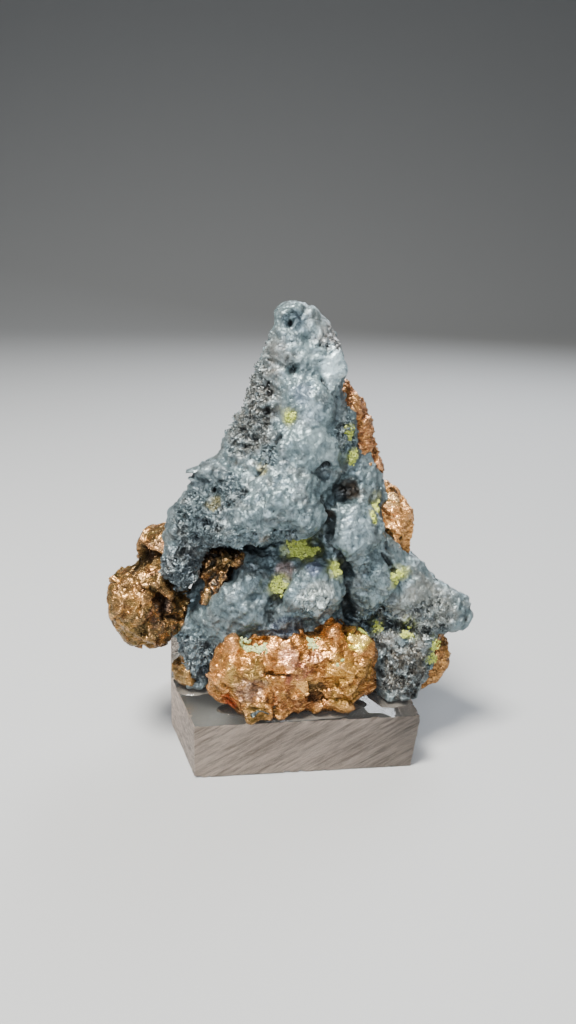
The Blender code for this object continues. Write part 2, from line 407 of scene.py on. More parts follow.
class Shape:
    """Helpers that make and change mesh objects."""

    # Points this near count as one
    NEAR = 0.001
    # Half the width of a slicing slab, its squares in a row, and its reach past the object
    SLAB_HALF = 25.0
    SLAB_SQUARES = 50
    SLAB_MARGIN = 1.0
    # A cut face's points differ in height by less than this, and its normal from upright
    CUT_LEVEL = 1e-4
    CUT_UPRIGHT = 1e-3
    # Grains made at a time, because adding to a large mesh is slow
    BATCH = 100

    @staticmethod
    def link(name: str, mesh: bpy.types.Mesh) -> bpy.types.Object:
        """Put a mesh in the scene.

        Args:
            name: the object's name.
            mesh: its mesh.

        Returns:
            The new object.
        """
        obj = bpy.data.objects.new(name, mesh)
        bpy.context.scene.collection.objects.link(obj)
        return obj

    @staticmethod
    def from_bmesh(name: str, made: bmesh.types.BMesh) -> bpy.types.Object:
        """Turn a bmesh into a scene object and free it.

        Args:
            name: the object's name.
            made: the bmesh.

        Returns:
            The new object.
        """
        mesh = bpy.data.meshes.new(name)
        made.to_mesh(mesh)
        made.free()
        return Shape.link(name, mesh)

    @staticmethod
    def copy_of_node(node: bpy.types.Object, name: str) -> bpy.types.Object:
        """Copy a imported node's mesh and join its loose triangles.

        Args:
            node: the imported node's object.
            name: the copy's name.

        Returns:
            The copy, closed.
        """
        made = bmesh.new()
        made.from_mesh(node.data)
        bmesh.ops.remove_doubles(made, verts=made.verts, dist=Shape.NEAR * MM)
        return Shape.from_bmesh(name, made)

    @staticmethod
    def bake(obj: bpy.types.Object) -> None:
        """Apply an object's modifiers to its mesh.

        Args:
            obj: the object, changed in place.
        """
        depsgraph = bpy.context.evaluated_depsgraph_get()
        done = bpy.data.meshes.new_from_object(obj.evaluated_get(depsgraph))
        obj.modifiers.clear()
        obj.data = done

    @staticmethod
    def discard(*objects: bpy.types.Object) -> None:
        """Remove helper objects from the file."""
        for obj in objects:
            bpy.data.objects.remove(obj, do_unlink=True)

    @staticmethod
    def fuse(obj: bpy.types.Object, cell: float, soften: int = 0, rounding: int = 0) -> None:
        """Join an object's overlapping shapes into one even skin.

        Args:
            obj: the object, changed in place.
            cell: width of the skin's faces.
            soften: smoothing passes after the skin is made.
            rounding: subdivision levels before it.
        """
        if rounding:
            rounder = obj.modifiers.new("rounder", "SUBSURF")
            rounder.levels = rounding
            rounder.render_levels = rounding
        skin = obj.modifiers.new("skin", "REMESH")
        skin.mode = "VOXEL"
        skin.voxel_size = cell * MM
        if soften:
            smooth = obj.modifiers.new("smooth", "SMOOTH")
            smooth.factor = 0.5
            smooth.iterations = soften
        Shape.bake(obj)

    @staticmethod
    def lumps(name: str, lumps: Sequence[Lump], swell: float, cell: float) -> bpy.types.Object:
        """Make one fused object of several lumps.

        Args:
            name: the object's name.
            lumps: the lumps.
            swell: how much each is grown all round.
            cell: width of the skin's faces.

        Returns:
            The new object, closed.
        """
        made = bmesh.new()
        for lump in lumps:
            bmesh.ops.create_icosphere(made, subdivisions=3, radius=1.0, matrix=lump.place(swell))
        obj = Shape.from_bmesh(name, made)
        Shape.fuse(obj, cell, 1)
        return obj

    @staticmethod
    def grains(name: str, places: Sequence[Matrix]) -> bpy.types.Object:
        """Make one object of many small angular grains.

        Args:
            name: the object's name.
            places: one matrix a grain, which makes a unit ball the grain.

        Returns:
            The new object.
        """
        made = bmesh.new()
        for start in range(0, len(places), Shape.BATCH):
            batch = bmesh.new()
            for place in places[start : start + Shape.BATCH]:
                bmesh.ops.create_icosphere(batch, subdivisions=1, radius=1.0, matrix=place)
            mesh = bpy.data.meshes.new("batch")
            batch.to_mesh(mesh)
            batch.free()
            made.from_mesh(mesh)
            bpy.data.meshes.remove(mesh)
        return Shape.from_bmesh(name, made)

    @staticmethod
    def slab(floor: float, roof: float) -> bpy.types.Object:
        """Make a wide box with its level faces split into small squares.

        Args:
            floor: height of its lower face, in the scene's own units.
            roof: height of its upper face.

        Returns:
            The new object, closed.
        """
        made = bmesh.new()
        level = Matrix.Translation((0.0, 0.0, floor))
        squares = Shape.SLAB_SQUARES
        bmesh.ops.create_grid(
            made, x_segments=squares, y_segments=squares, size=Shape.SLAB_HALF, matrix=level
        )
        raised = bmesh.ops.extrude_face_region(made, geom=list(made.faces))["geom"]
        points = [item for item in raised if isinstance(item, bmesh.types.BMVert)]
        bmesh.ops.translate(made, verts=points, vec=(0.0, 0.0, roof - floor))
        bmesh.ops.recalc_face_normals(made, faces=made.faces)
        return Shape.from_bmesh("slab", made)

    @staticmethod
    def keep_between(piece: bpy.types.Object, floor: float, roof: float) -> None:
        """Cut off what lies outside two heights, and shrink the rest back to its real size.

        Args:
            piece: the piece, grown a thousand times, changed in place.
            floor: the lower height.
            roof: the upper height.
        """
        slab = Shape.slab(floor, roof)
        cut = piece.modifiers.new("slab", "BOOLEAN")
        cut.operation = "INTERSECT"
        cut.solver = "MANIFOLD"
        cut.object = slab
        Shape.bake(piece)
        Shape.discard(slab)
        made = bmesh.new()
        made.from_mesh(piece.data)
        bmesh.ops.triangulate(made, faces=[face for face in made.faces if len(face.verts) > 4])
        for face in made.faces:
            heights = [vert.co.z for vert in face.verts]
            level = max(heights) - min(heights) < Shape.CUT_LEVEL
            if level and abs(abs(face.normal.z) - 1.0) < Shape.CUT_UPRIGHT:
                for edge in face.edges:
                    edge.smooth = False
        made.transform(Matrix.Scale(MM, 4))
        made.to_mesh(piece.data)
        made.free()

    @staticmethod
    def slice_up(obj: bpy.types.Object, parts: int) -> list[bpy.types.Object]:
        """Cut a closed object at level planes into closed parts with about as many points each.

        The cuts are made on copies grown a thousand times, because faces as small as these lie
        within the tools' own tolerance in metres. The cut faces come in small squares, because
        one large face with such a ragged outline doesn't split into triangles cleanly.

        Args:
            obj: the object, which is removed.
            parts: how many parts to make.

        Returns:
            The parts, from the lowest up, with the object's name and a number.
        """
        whole = Skin(obj.data)
        levels = np.quantile(whole.points[:, 2], np.arange(parts + 1) / parts)
        levels[0] -= Shape.SLAB_MARGIN
        levels[-1] += Shape.SLAB_MARGIN
        large = obj.data.copy()
        large.transform(Matrix.Scale(1 / MM, 4))
        pieces = []
        for index, (floor, roof) in enumerate(zip(levels, levels[1:])):
            piece = Shape.link(f"{obj.name}_{index + 1}", large.copy())
            Shape.keep_between(piece, floor, roof)
            skin = Skin(piece.data)
            beside = np.abs(skin.points[:, 2:] - levels).min(axis=1) < Shape.NEAR
            skin.borrow(whole, np.flatnonzero(beside))
            pieces.append(piece)
        Shape.discard(obj)
        return pieces


class Skin:
    """Reads and changes the points of one mesh."""

    # Attributes that the metals' material reads: name, key and values a point
    LAYERS = (("height", "value", 1), ("broken", "value", 1), ("tone", "color", 4))
    # The finest relief: smoothing passes, the height of a full ridge, and its share of the whole
    FINE_PASSES = 8
    FINE_REACH = 0.16
    FINE_SHARE = 0.6
    # How far off the skin the rays start that measure a crevice
    RAY_LIFT = 0.4
    # A tint's rim: the width of its breaks, and the weights between which it comes in
    RIM_WIDTH = 1.4
    RIM_RISE = (0.12, 0.62)
    # What moves each vein's pattern, and the pattern's values between which a vein comes in
    VEIN_SEED = 31.0
    VEIN_RISE = (0.0, 0.5)
    # Painted shade in crevices: how dark the deepest crevice is painted, and the depths between which it
    # darkens
    PAINTED_CREVICE_SHADE = 0.8
    PAINTED_CREVICE_RISE = (0.05, 0.75)

    def __init__(self, mesh: bpy.types.Mesh) -> None:
        """Keep the mesh and read its points and normals."""
        self.mesh = mesh
        self.read()

    def read(self) -> None:
        """Read the mesh's points, in millimetres, and its normals."""
        self.mesh.update()
        count = len(self.mesh.vertices)
        flat = np.empty(count * 3)
        self.mesh.vertices.foreach_get("co", flat)
        self.points = flat.reshape(-1, 3) / MM
        flat = np.empty(count * 3)
        self.mesh.vertex_normals.foreach_get("vector", flat)
        self.normals = flat.reshape(-1, 3)

    def push(self, heights: np.ndarray) -> None:
        """Move each point along its normal.

        Args:
            heights: how far, one value a point.
        """
        self.points = self.points + self.normals * heights[:, None]
        self.mesh.vertices.foreach_set("co", (self.points * MM).ravel())
        self.read()

    def relief(self, passes: int, reach: float) -> np.ndarray:
        """Measure how far each point stands out of a smoothed copy of the mesh.

        Args:
            passes: smoothing passes of the copy.
            reach: the height in millimetres that counts as a full ridge.

        Returns:
            One value a point, 0 in a deep hollow, 0.5 on even ground and 1 on a ridge.
        """
        ends = np.empty(len(self.mesh.edges) * 2, dtype=np.int64)
        self.mesh.edges.foreach_get("vertices", ends)
        first, second = ends[0::2], ends[1::2]
        count = len(self.points)
        neighbours = np.bincount(first, minlength=count) + np.bincount(second, minlength=count)
        even = self.points.copy()
        for _ in range(passes):
            total = np.empty_like(even)
            for axis in range(3):
                column = even[:, axis]
                total[:, axis] = np.bincount(first, column[second], count)
                total[:, axis] += np.bincount(second, column[first], count)
            even = 0.5 * even + 0.5 * total / np.maximum(neighbours, 1)[:, None]
        height = np.einsum("ij,ij->i", self.points - even, self.normals) / reach
        return np.clip(0.5 + 0.5 * height, 0.0, 1.0)

    def stand_out(self, passes: int, reach: float) -> np.ndarray:
        """Return the finest relief mixed with a wider one, 0 to 1."""
        fine = self.FINE_SHARE * self.relief(self.FINE_PASSES, self.FINE_REACH)
        return fine + (1.0 - self.FINE_SHARE) * self.relief(passes, reach)

    def buried(self, solid: BVHTree, reach: float = 5.5, rays: int = 11) -> np.ndarray:
        """Measure how much of the view out of each point a solid blocks.

        Args:
            solid: the solid that blocks, in metres.
            reach: how far in millimetres it counts.
            rays: how many directions are tried.

        Returns:
            One value a point, 0 in the open and near 1 deep in a crevice.
        """
        steps = np.arange(rays)
        levels = 1.0 - (2.0 * steps + 1.0) / rays
        rounds = steps * math.pi * (3.0 - math.sqrt(5.0))
        flat = np.sqrt(1.0 - levels**2)
        ways = [Vector(way) for way in zip(np.cos(rounds) * flat, np.sin(rounds) * flat, levels)]
        blocked = np.zeros(len(self.points))
        for index, (point, normal) in enumerate(zip(self.points, self.normals)):
            outward = Vector(normal)
            start = (Vector(point) + outward * self.RAY_LIFT) * MM
            for way in ways:
                facing = way.dot(outward)
                gap = solid.ray_cast(start, way if facing > 0.0 else -way, reach * MM)[3]
                if gap is not None:
                    blocked[index] += abs(facing) * (1.0 - gap / (reach * MM))
        return np.clip(blocked * 2.0 / rays, 0.0, 1.0)

    def borrow(self, source: Skin, chosen: np.ndarray) -> None:
        """Give some points the stored values of another skin's nearest points.

        Args:
            source: the other skin.
            chosen: the numbers of this skin's points that are given new values.
        """
        tree = KDTree(len(source.points))
        for index, point in enumerate(source.points):
            tree.insert(point, index)
        tree.balance()
        nearest = [tree.find(point)[1] for point in self.points[chosen]]
        for name, key, width in self.LAYERS:
            given = np.empty(len(source.points) * width, dtype=np.float32)
            source.mesh.attributes[name].data.foreach_get(key, given)
            kept = np.empty(len(self.points) * width, dtype=np.float32)
            self.mesh.attributes[name].data.foreach_get(key, kept)
            kept.reshape(-1, width)[chosen] = given.reshape(-1, width)[nearest]
            self.mesh.attributes[name].data.foreach_set(key, kept)

    def store(self, name: str, values: np.ndarray) -> None:
        """Store one value a point as an attribute that a material reads."""
        layer = self.mesh.attributes.new(name, "FLOAT", "POINT")
        layer.data.foreach_set("value", values.astype(np.float32))

    def paint(
        self,
        base: str,
        tints: Sequence[Tint],
        veins: Sequence[Vein],
        seed: float = 0.0,
        depth: np.ndarray | float = 0.0,
        clear: np.ndarray | float = 0.0,
    ) -> None:
        """Store the skin's colour.

        Args:
            base: the tone of the whole skin.
            tints: zones of other tones over it, with broken rims.
            veins: tones that wander through all of them.
            seed: moves the pattern.
            depth: how deep each point lies in a crevice, where painted shade darkens the skin.
            clear: how clear of veins each point is.
        """
        colours = np.tile(np.array(linear(base)), (len(self.points), 1))
        ragged = Pattern.rubble(self.points, self.RIM_WIDTH, seed)
        for tint in tints:
            weight = tint.weight(self.points)
            share = rise(*self.RIM_RISE, weight + 0.5 * ragged * (1.0 - weight) * (weight > 0))
            share = (share * tint.strength)[:, None]
            colours = colours * (1.0 - share) + np.array(linear(tint.colour)) * share
        for index, vein in enumerate(veins):
            wander = Pattern.rubble(self.points, vein.width, seed + self.VEIN_SEED * (index + 1))
            share = (vein.strength * rise(*self.VEIN_RISE, wander) * (1.0 - clear))[:, None]
            colours = colours * (1.0 - share) + np.array(linear(vein.colour)) * share
        # Painted shade: the tone is darkened where a point lies deep in a crevice
        dark = rise(*self.PAINTED_CREVICE_RISE, np.zeros(len(colours)) + depth)
        colours *= (1.0 - self.PAINTED_CREVICE_SHADE * dark)[:, None]
        layer = self.mesh.attributes.new("tone", "FLOAT_COLOR", "POINT")
        layer.data.foreach_set("color", colours.astype(np.float32).ravel())


# Finishes


@dataclass(frozen=True)
class PatinatedMetal:
    """A native metal under a natural patina, satin to glossy.

    The tone comes from the piece's own attribute. Creases and hollows are darker, partly thick patina
    and partly painted shade, and ridges brighter, partly rubbed bright and partly painted highlight.
    Broken parts have small facets that catch the light one by one. Creases thinner than the mesh can
    hold are drawn by bump and tone.
    """

    name: str
    # Tone of the deepest hollows: dark patina with painted shade
    hollow: str
    # Tone that raised skin pales towards: rubbed metal with painted highlight
    ridge: str
    metallic: float
    roughness: Pair
    # How far raised skin goes to that tone, as wear and painted highlight
    wear_and_highlight: float
    calm_relief: float
    crease_widths: Pair = (0.8, 0.32)
    crease_shares: Pair = (0.5, 0.5)
    crease_edge: float = 0.04
    grain_width: float = 0.13
    facet_width: float = 0.34
    facet_tilt: float = 0.7
    bump_height: float = 0.15
    full_break: float = 0.3
    even_relief: float = 0.75
    # Painted shade: the ramp's greys, which darken the tone on low skin, at the stops from the hollow
    # tone up
    greys: tuple[str, str, str] = ("#6e6e6e", "#c8c8c8", "#ffffff")
    stops: tuple[float, float, float, float] = (0.2, 0.33, 0.43, 0.58)
    # Heights between which raised skin takes the pale tone, as wear and painted highlight
    worn_and_highlit_range: Pair = (0.66, 0.86)
    gloss_range: Pair = (0.3, 0.75)
    stretch: Triple = (1.0, 1.0, 1.0)

    def build(self) -> bpy.types.Material:
        """Make the material.

        Returns:
            The material.
        """
        made, tree, shader = start_material(self.name)
        place = add_node(tree, "ShaderNodeTexCoord").outputs["Object"]
        drawn = add_node(
            tree, "ShaderNodeMapping", {"Vector": place, "Scale": self.stretch}
        ).outputs["Vector"]
        broken = add_node(tree, "ShaderNodeAttribute", attribute_name="broken").outputs["Fac"]
        share = add_node(
            tree,
            "ShaderNodeMapRange",
            {"Value": broken, "From Max": self.full_break, "To Min": self.calm_relief},
        ).outputs["Result"]
        relief = add_node(
            tree, "ShaderNodeMix", {0: share, 2: self.even_relief, 3: self.relief(tree, drawn)}
        ).outputs[0]
        height = add_node(tree, "ShaderNodeAttribute", attribute_name="height").outputs["Fac"]
        lifted = add_node(tree, "ShaderNodeMix", {0: 0.5, 2: relief, 3: height}).outputs[0]
        rough = add_node(
            tree,
            "ShaderNodeMapRange",
            {
                "Value": lifted,
                "From Min": self.gloss_range[0],
                "From Max": self.gloss_range[1],
                "To Min": self.roughness[1],
                "To Max": self.roughness[0],
            },
        ).outputs["Result"]
        normal = self.tilted_normal(tree, place, broken)
        bump = add_node(
            tree,
            "ShaderNodeBump",
            {"Height": relief, "Distance": self.bump_height * MM, "Normal": normal},
        ).outputs["Normal"]
        inputs = {"Base Color": self.colour(tree, lifted), "Roughness": rough, "Normal": bump}
        fill(tree, shader, {**inputs, "Metallic": self.metallic})
        return made

    def colour(
        self, tree: bpy.types.NodeTree, lifted: bpy.types.NodeSocket
    ) -> bpy.types.NodeSocket:
        """Darken the piece's own tone in hollows, as patina and painted shade, and brighten it on
        ridges, as rubbing and painted highlight.

        Args:
            tree: the material's node tree.
            lifted: how far the skin stands out, 0 to 1.

        Returns:
            The socket that gives the colour.
        """
        tone = add_node(tree, "ShaderNodeAttribute", attribute_name="tone").outputs["Color"]
        # Painted shade: a ramp from the hollow tone through the greys darkens the tone where the skin
        # lies low
        shade = add_node(
            tree,
            "ShaderNodeValToRGB",
            {"Fac": lifted},
            tuple(zip(self.stops, (self.hollow, *self.greys))),
        ).outputs["Color"]
        toned = add_node(
            tree,
            "ShaderNodeMix",
            {0: 1.0, 6: tone, 7: shade},
            data_type="RGBA",
            blend_type="MULTIPLY",
        ).outputs[2]
        # Painted highlight and wear: raised skin is mixed towards the pale ridge tone
        low, high = self.worn_and_highlit_range
        worn_and_highlit = add_node(
            tree,
            "ShaderNodeMapRange",
            {"Value": lifted, "From Min": low, "From Max": high, "To Max": self.wear_and_highlight},
        ).outputs["Result"]
        return add_node(
            tree, "ShaderNodeMix", {0: worn_and_highlit, 6: toned, 7: linear(self.ridge)}, data_type="RGBA"
        ).outputs[2]

    def relief(
        self, tree: bpy.types.NodeTree, place: bpy.types.NodeSocket
    ) -> bpy.types.NodeSocket:
        """Draw the skin's finest relief: thin curved creases in two sizes, and grain.

        Args:
            tree: the material's node tree.
            place: the socket that gives the place.

        Returns:
            The socket that gives the relief, 0 to 1.
        """
        total = add_node(
            tree,
            "ShaderNodeTexNoise",
            {"Vector": place, "Scale": 1 / (self.grain_width * MM), "Detail": 3.0, "Roughness": 0.7},
        ).outputs["Fac"]
        for width, share in zip(self.crease_widths, self.crease_shares):
            soft = add_node(
                tree,
                "ShaderNodeTexNoise",
                {"Vector": place, "Scale": 1 / (width * MM), "Detail": 1.6, "Roughness": 0.5},
            ).outputs["Fac"]
            off = add_node(
                tree, "ShaderNodeMath", {0: soft, 1: 0.5}, operation="SUBTRACT"
            ).outputs["Value"]
            apart = add_node(tree, "ShaderNodeMath", {0: off}, operation="ABSOLUTE").outputs["Value"]
            line = add_node(
                tree,
                "ShaderNodeMapRange",
                {"Value": apart, "From Max": self.crease_edge},
                interpolation_type="SMOOTHSTEP",
            ).outputs["Result"]
            total = add_node(tree, "ShaderNodeMix", {0: share, 2: total, 3: line}).outputs[0]
        return total

    def tilted_normal(
        self,
        tree: bpy.types.NodeTree,
        place: bpy.types.NodeSocket,
        broken: bpy.types.NodeSocket,
    ) -> bpy.types.NodeSocket:
        """Tilt the surface's normal on each small facet where the skin is broken.

        Args:
            tree: the material's node tree.
            place: the socket that gives the place.
            broken: the socket that says how broken the skin is.

        Returns:
            The socket that gives the normal.
        """
        lean = add_node(
            tree, "ShaderNodeMath", {0: broken, 1: self.facet_tilt}, operation="MULTIPLY"
        ).outputs["Value"]
        cells = add_node(
            tree, "ShaderNodeTexVoronoi", {"Vector": place, "Scale": 1 / (self.facet_width * MM)}
        ).outputs["Color"]
        centred = add_node(
            tree, "ShaderNodeVectorMath", {0: cells, 1: (0.5, 0.5, 0.5)}, operation="SUBTRACT"
        ).outputs["Vector"]
        tilt = add_node(
            tree, "ShaderNodeVectorMath", {0: centred, "Scale": lean}, operation="SCALE"
        ).outputs["Vector"]
        normal = add_node(tree, "ShaderNodeNewGeometry").outputs["Normal"]
        added = add_node(
            tree, "ShaderNodeVectorMath", {0: normal, 1: tilt}, operation="ADD"
        ).outputs["Vector"]
        return add_node(
            tree, "ShaderNodeVectorMath", {0: added}, operation="NORMALIZE"
        ).outputs["Vector"]


@dataclass(frozen=True)
class PowderyCrust:
    """A dry granular mineral crust: matt, with grains in two tones."""

    name: str
    dark: str
    light: str
    grain_width: float = 0.3
    tone_range: Pair = (0.36, 0.62)
    bump_height: float = 0.08
    bump_strength: float = 0.9
    roughness: float = 0.8

    def build(self) -> bpy.types.Material:
        """Make the material.

        Returns:
            The material.
        """
        made, tree, shader = start_material(self.name)
        place = add_node(tree, "ShaderNodeTexCoord").outputs["Object"]
        grain = add_node(
            tree,
            "ShaderNodeTexNoise",
            {"Vector": place, "Scale": 1 / (self.grain_width * MM), "Detail": 4.0, "Roughness": 0.7},
        ).outputs["Fac"]
        tones = tuple(zip(self.tone_range, (self.dark, self.light)))
        colour = add_node(tree, "ShaderNodeValToRGB", {"Fac": grain}, tones).outputs["Color"]
        depth = {"Strength": self.bump_strength, "Distance": self.bump_height * MM}
        bump = add_node(tree, "ShaderNodeBump", {"Height": grain, **depth}).outputs["Normal"]
        inputs = {"Base Color": colour, "Normal": bump, "Roughness": self.roughness}
        fill(tree, shader, inputs)
        return made


class Cut(Enum):
    """How a face of the acrylic sheet was left."""

    POLISHED = "polished"
    SAWN = "sawn"


@dataclass(frozen=True)
class CastAcrylic:
    """Acrylic sheet (PMMA): clear and glossy where polished, frosted and scored where sawn.

    A saw's marks lean by an angle in degrees and have a length, a width and a pitch. They are
    drawn coarser than real ones, so that they show.
    """

    name: str
    cut: Cut
    roughness: float
    tone: str
    ior: float = 1.49
    mark_tone: str = "#6b5a4a"
    mark_lean: float = 30.0
    mark_size: Triple = (3.85, 1.11, 0.385)
    mark_range: Pair = (0.4, 0.6)
    mark_depth: float = 0.4

    def build(self) -> bpy.types.Material:
        """Make the material.

        Returns:
            The material.
        """
        made, tree, shader = start_material(self.name)
        clear = {"Transmission Weight": 1.0, "IOR": self.ior, "Roughness": self.roughness}
        fill(tree, shader, clear)
        if self.cut is Cut.POLISHED:
            fill(tree, shader, {"Base Color": linear(self.tone)})
            return made
        place = add_node(tree, "ShaderNodeTexCoord").outputs["Object"]
        leaned = add_node(
            tree,
            "ShaderNodeVectorRotate",
            {"Vector": place, "Angle": math.radians(self.mark_lean)},
            rotation_type="Y_AXIS",
        ).outputs["Vector"]
        scale = [1 / (size * MM) for size in self.mark_size]
        along = add_node(
            tree, "ShaderNodeMapping", {"Vector": leaned, "Scale": scale}
        ).outputs["Vector"]
        marks = add_node(
            tree,
            "ShaderNodeTexNoise",
            {"Vector": along, "Scale": 1.0, "Detail": 6.0, "Roughness": 0.75},
        ).outputs["Fac"]
        tones = tuple(zip(self.mark_range, (self.mark_tone, self.tone)))
        colour = add_node(tree, "ShaderNodeValToRGB", {"Fac": marks}, tones).outputs["Color"]
        bump = add_node(
            tree, "ShaderNodeBump", {"Height": marks, "Distance": self.mark_depth * MM}
        ).outputs["Normal"]
        fill(tree, shader, {"Base Color": colour, "Normal": bump})
        return made


@dataclass(frozen=True)
class SetAdhesive:
    """Adhesive that has set: a clear, slightly cloudy resin with a wet gloss."""

    name: str = "set clear adhesive"
    tone: str = "#c4bdb2"
    clearness: float = 0.8
    ior: float = 1.46
    roughness: float = 0.12

    def build(self) -> bpy.types.Material:
        """Make the material.

        Returns:
            The material.
        """
        made, tree, shader = start_material(self.name)
        clear = {"Transmission Weight": self.clearness, "IOR": self.ior}
        look = {"Base Color": linear(self.tone), "Roughness": self.roughness}
        fill(tree, shader, {**look, **clear})
        return made


# Tarnished native silver: satin blue-grey metal, near black in its hollows as patina and painted shade,
# and pale on its ridges, rubbed bright and with painted highlight
SILVER_FINISH = PatinatedMetal(
    "tarnished native silver",
    hollow="#1f2326",
    ridge="#bccfd4",
    metallic=0.62,
    roughness=(0.33, 0.5),
    wear_and_highlight=0.36,
    calm_relief=0.66,
)
# Native copper handled bright: glossy metal with brown patina and painted shade in its folds, and
# painted peach highlights on its ridges
COPPER_FINISH = PatinatedMetal(
    "native copper with patina",
    hollow="#3c2012",
    ridge="#ffc58c",
    metallic=0.8,
    roughness=(0.22, 0.4),
    wear_and_highlight=0.35,
    calm_relief=1.0,
    crease_widths=(0.9, 0.36),
    crease_shares=(0.45, 0.5),
    grain_width=0.2,
    facet_width=0.7,
    facet_tilt=0.4,
    bump_height=0.1,
    stops=(0.22, 0.35, 0.46, 0.6),
    stretch=(0.7, 1.0, 1.9),
)
# Powdery yellow-green mineral grown in the seams: dry, matt and speckled
YELLOW_GREEN_FINISH = PowderyCrust("yellow-green crust", "#8f9c38", "#d2da72")
# The same kind of growth in pale mint, on the copper's rim
MINT_FINISH = PowderyCrust("pale mint crust", "#9aae66", "#d6e0a8")
# Cast acrylic sheet as it comes: a clear, glossy face
POLISHED_FINISH = CastAcrylic("polished cast acrylic", Cut.POLISHED, 0.02, "#eeefed")
# The same sheet where a saw went through: frosted, grey-beige, with leaning scores
SAWN_FINISH = CastAcrylic("sawn frosted acrylic", Cut.SAWN, 0.5, "#dcc6b2")


# Copper regions, which follow the solid's copper lumps

COPPER_FRONT = (
    Lump((-0.3, -6.9, 9.9), (8.3, 3.4, 4.3)),
    Lump((-4.9, -6.9, 9.9), (3.6, 3.5, 3.6)),
    Lump((-6.3, -7.4, 11.6), (1.7, 2.2, 2.5)),
    Lump((-3.8, -9.4, 7.3), (2.5, 2.1, 1.9)),
    Lump((0.8, -7.4, 8.6), (4.4, 3.1, 3.4)),
    Lump((4.6, -7.0, 10.2), (3.5, 3.5, 4.2)),
    Lump((3.9, -7.3, 13.8), (1.8, 2.1, 1.8)),
    Lump((6.3, -7.0, 12.2), (1.8, 2.5, 2.2)),
    Lump((6.6, -6.2, 10.4), (1.7, 2.6, 3.4)),
)
COPPER_LEFT = (
    Lump((-15.4, -1.2, 15.6), (3.9, 3.8, 4.9)),
    Lump((-13.8, -0.4, 20.4), (2.4, 2.6, 3.1)),
    Lump((-12.8, -0.8, 14.6), (2.3, 2.8, 2.5)),
)
COPPER_RIGHT_EDGE = (
    Lump((6.0, -0.4, 36.9), (1.3, 1.8, 2.4), (0, -12, 0)),
    Lump((7.2, 0.0, 33.8), (1.6, 2.2, 2.7), (0, -10, 0)),
    Lump((8.2, 0.2, 30.6), (1.8, 2.2, 2.2)),
)
COPPER_RIGHT_LUMP = (Lump((11.2, -0.6, 24.6), (1.9, 2.8, 4.1), (0, -16, 0)),)
COPPER_LOWER_RIGHT = (
    Lump((16.0, -3.6, 9.4), (1.8, 2.5, 3.2)),
    Lump((14.9, -3.2, 7.6), (1.9, 2.3, 2.0)),
)
COPPER_NUB = (Lump((-11.6, -2.6, 8.0), (1.2, 1.3, 1.4)),)
COPPER_BACK = (
    Lump((-1.2, 6.4, 19.0), (2.2, 2.3, 1.9)),
    Lump((1.7, 6.6, 17.2), (2.6, 2.3, 1.5), (0, 20, 0)),
    Lump((2.7, 6.2, 19.9), (1.5, 2.2, 1.2)),
    Lump((-0.5, 6.6, 16.4), (1.3, 2.2, 1.6)),
    Lump((-3.0, 6.0, 17.4), (1.3, 2.2, 0.9)),
)
# Copper at the back of the cave, which the solid leaves out
COPPER_CAVE = (
    Lump((-7.9, -2.0, 19.8), (1.7, 1.6, 2.2), (0, 20, 0)),
    Lump((-8.0, -3.8, 18.6), (0.7, 1.1, 2.6), (0, 36, 0)),
    Lump((-6.4, -3.6, 21.4), (1.6, 1.2, 0.9)),
)
# The ledge at the front mass's right peak, turned up to the light, which carries a painted highlight in
# pale yellow
COPPER_LEDGE = (
    Lump((6.5, -8.3, 13.8), (1.15, 0.8, 0.42), (43, -14, 0)),
    Lump((5.7, -8.4, 14.2), (0.6, 0.5, 0.35), (43, 0, 20)),
    Lump((7.3, -7.9, 13.5), (0.6, 0.6, 0.35), (50, -20, 0)),
)


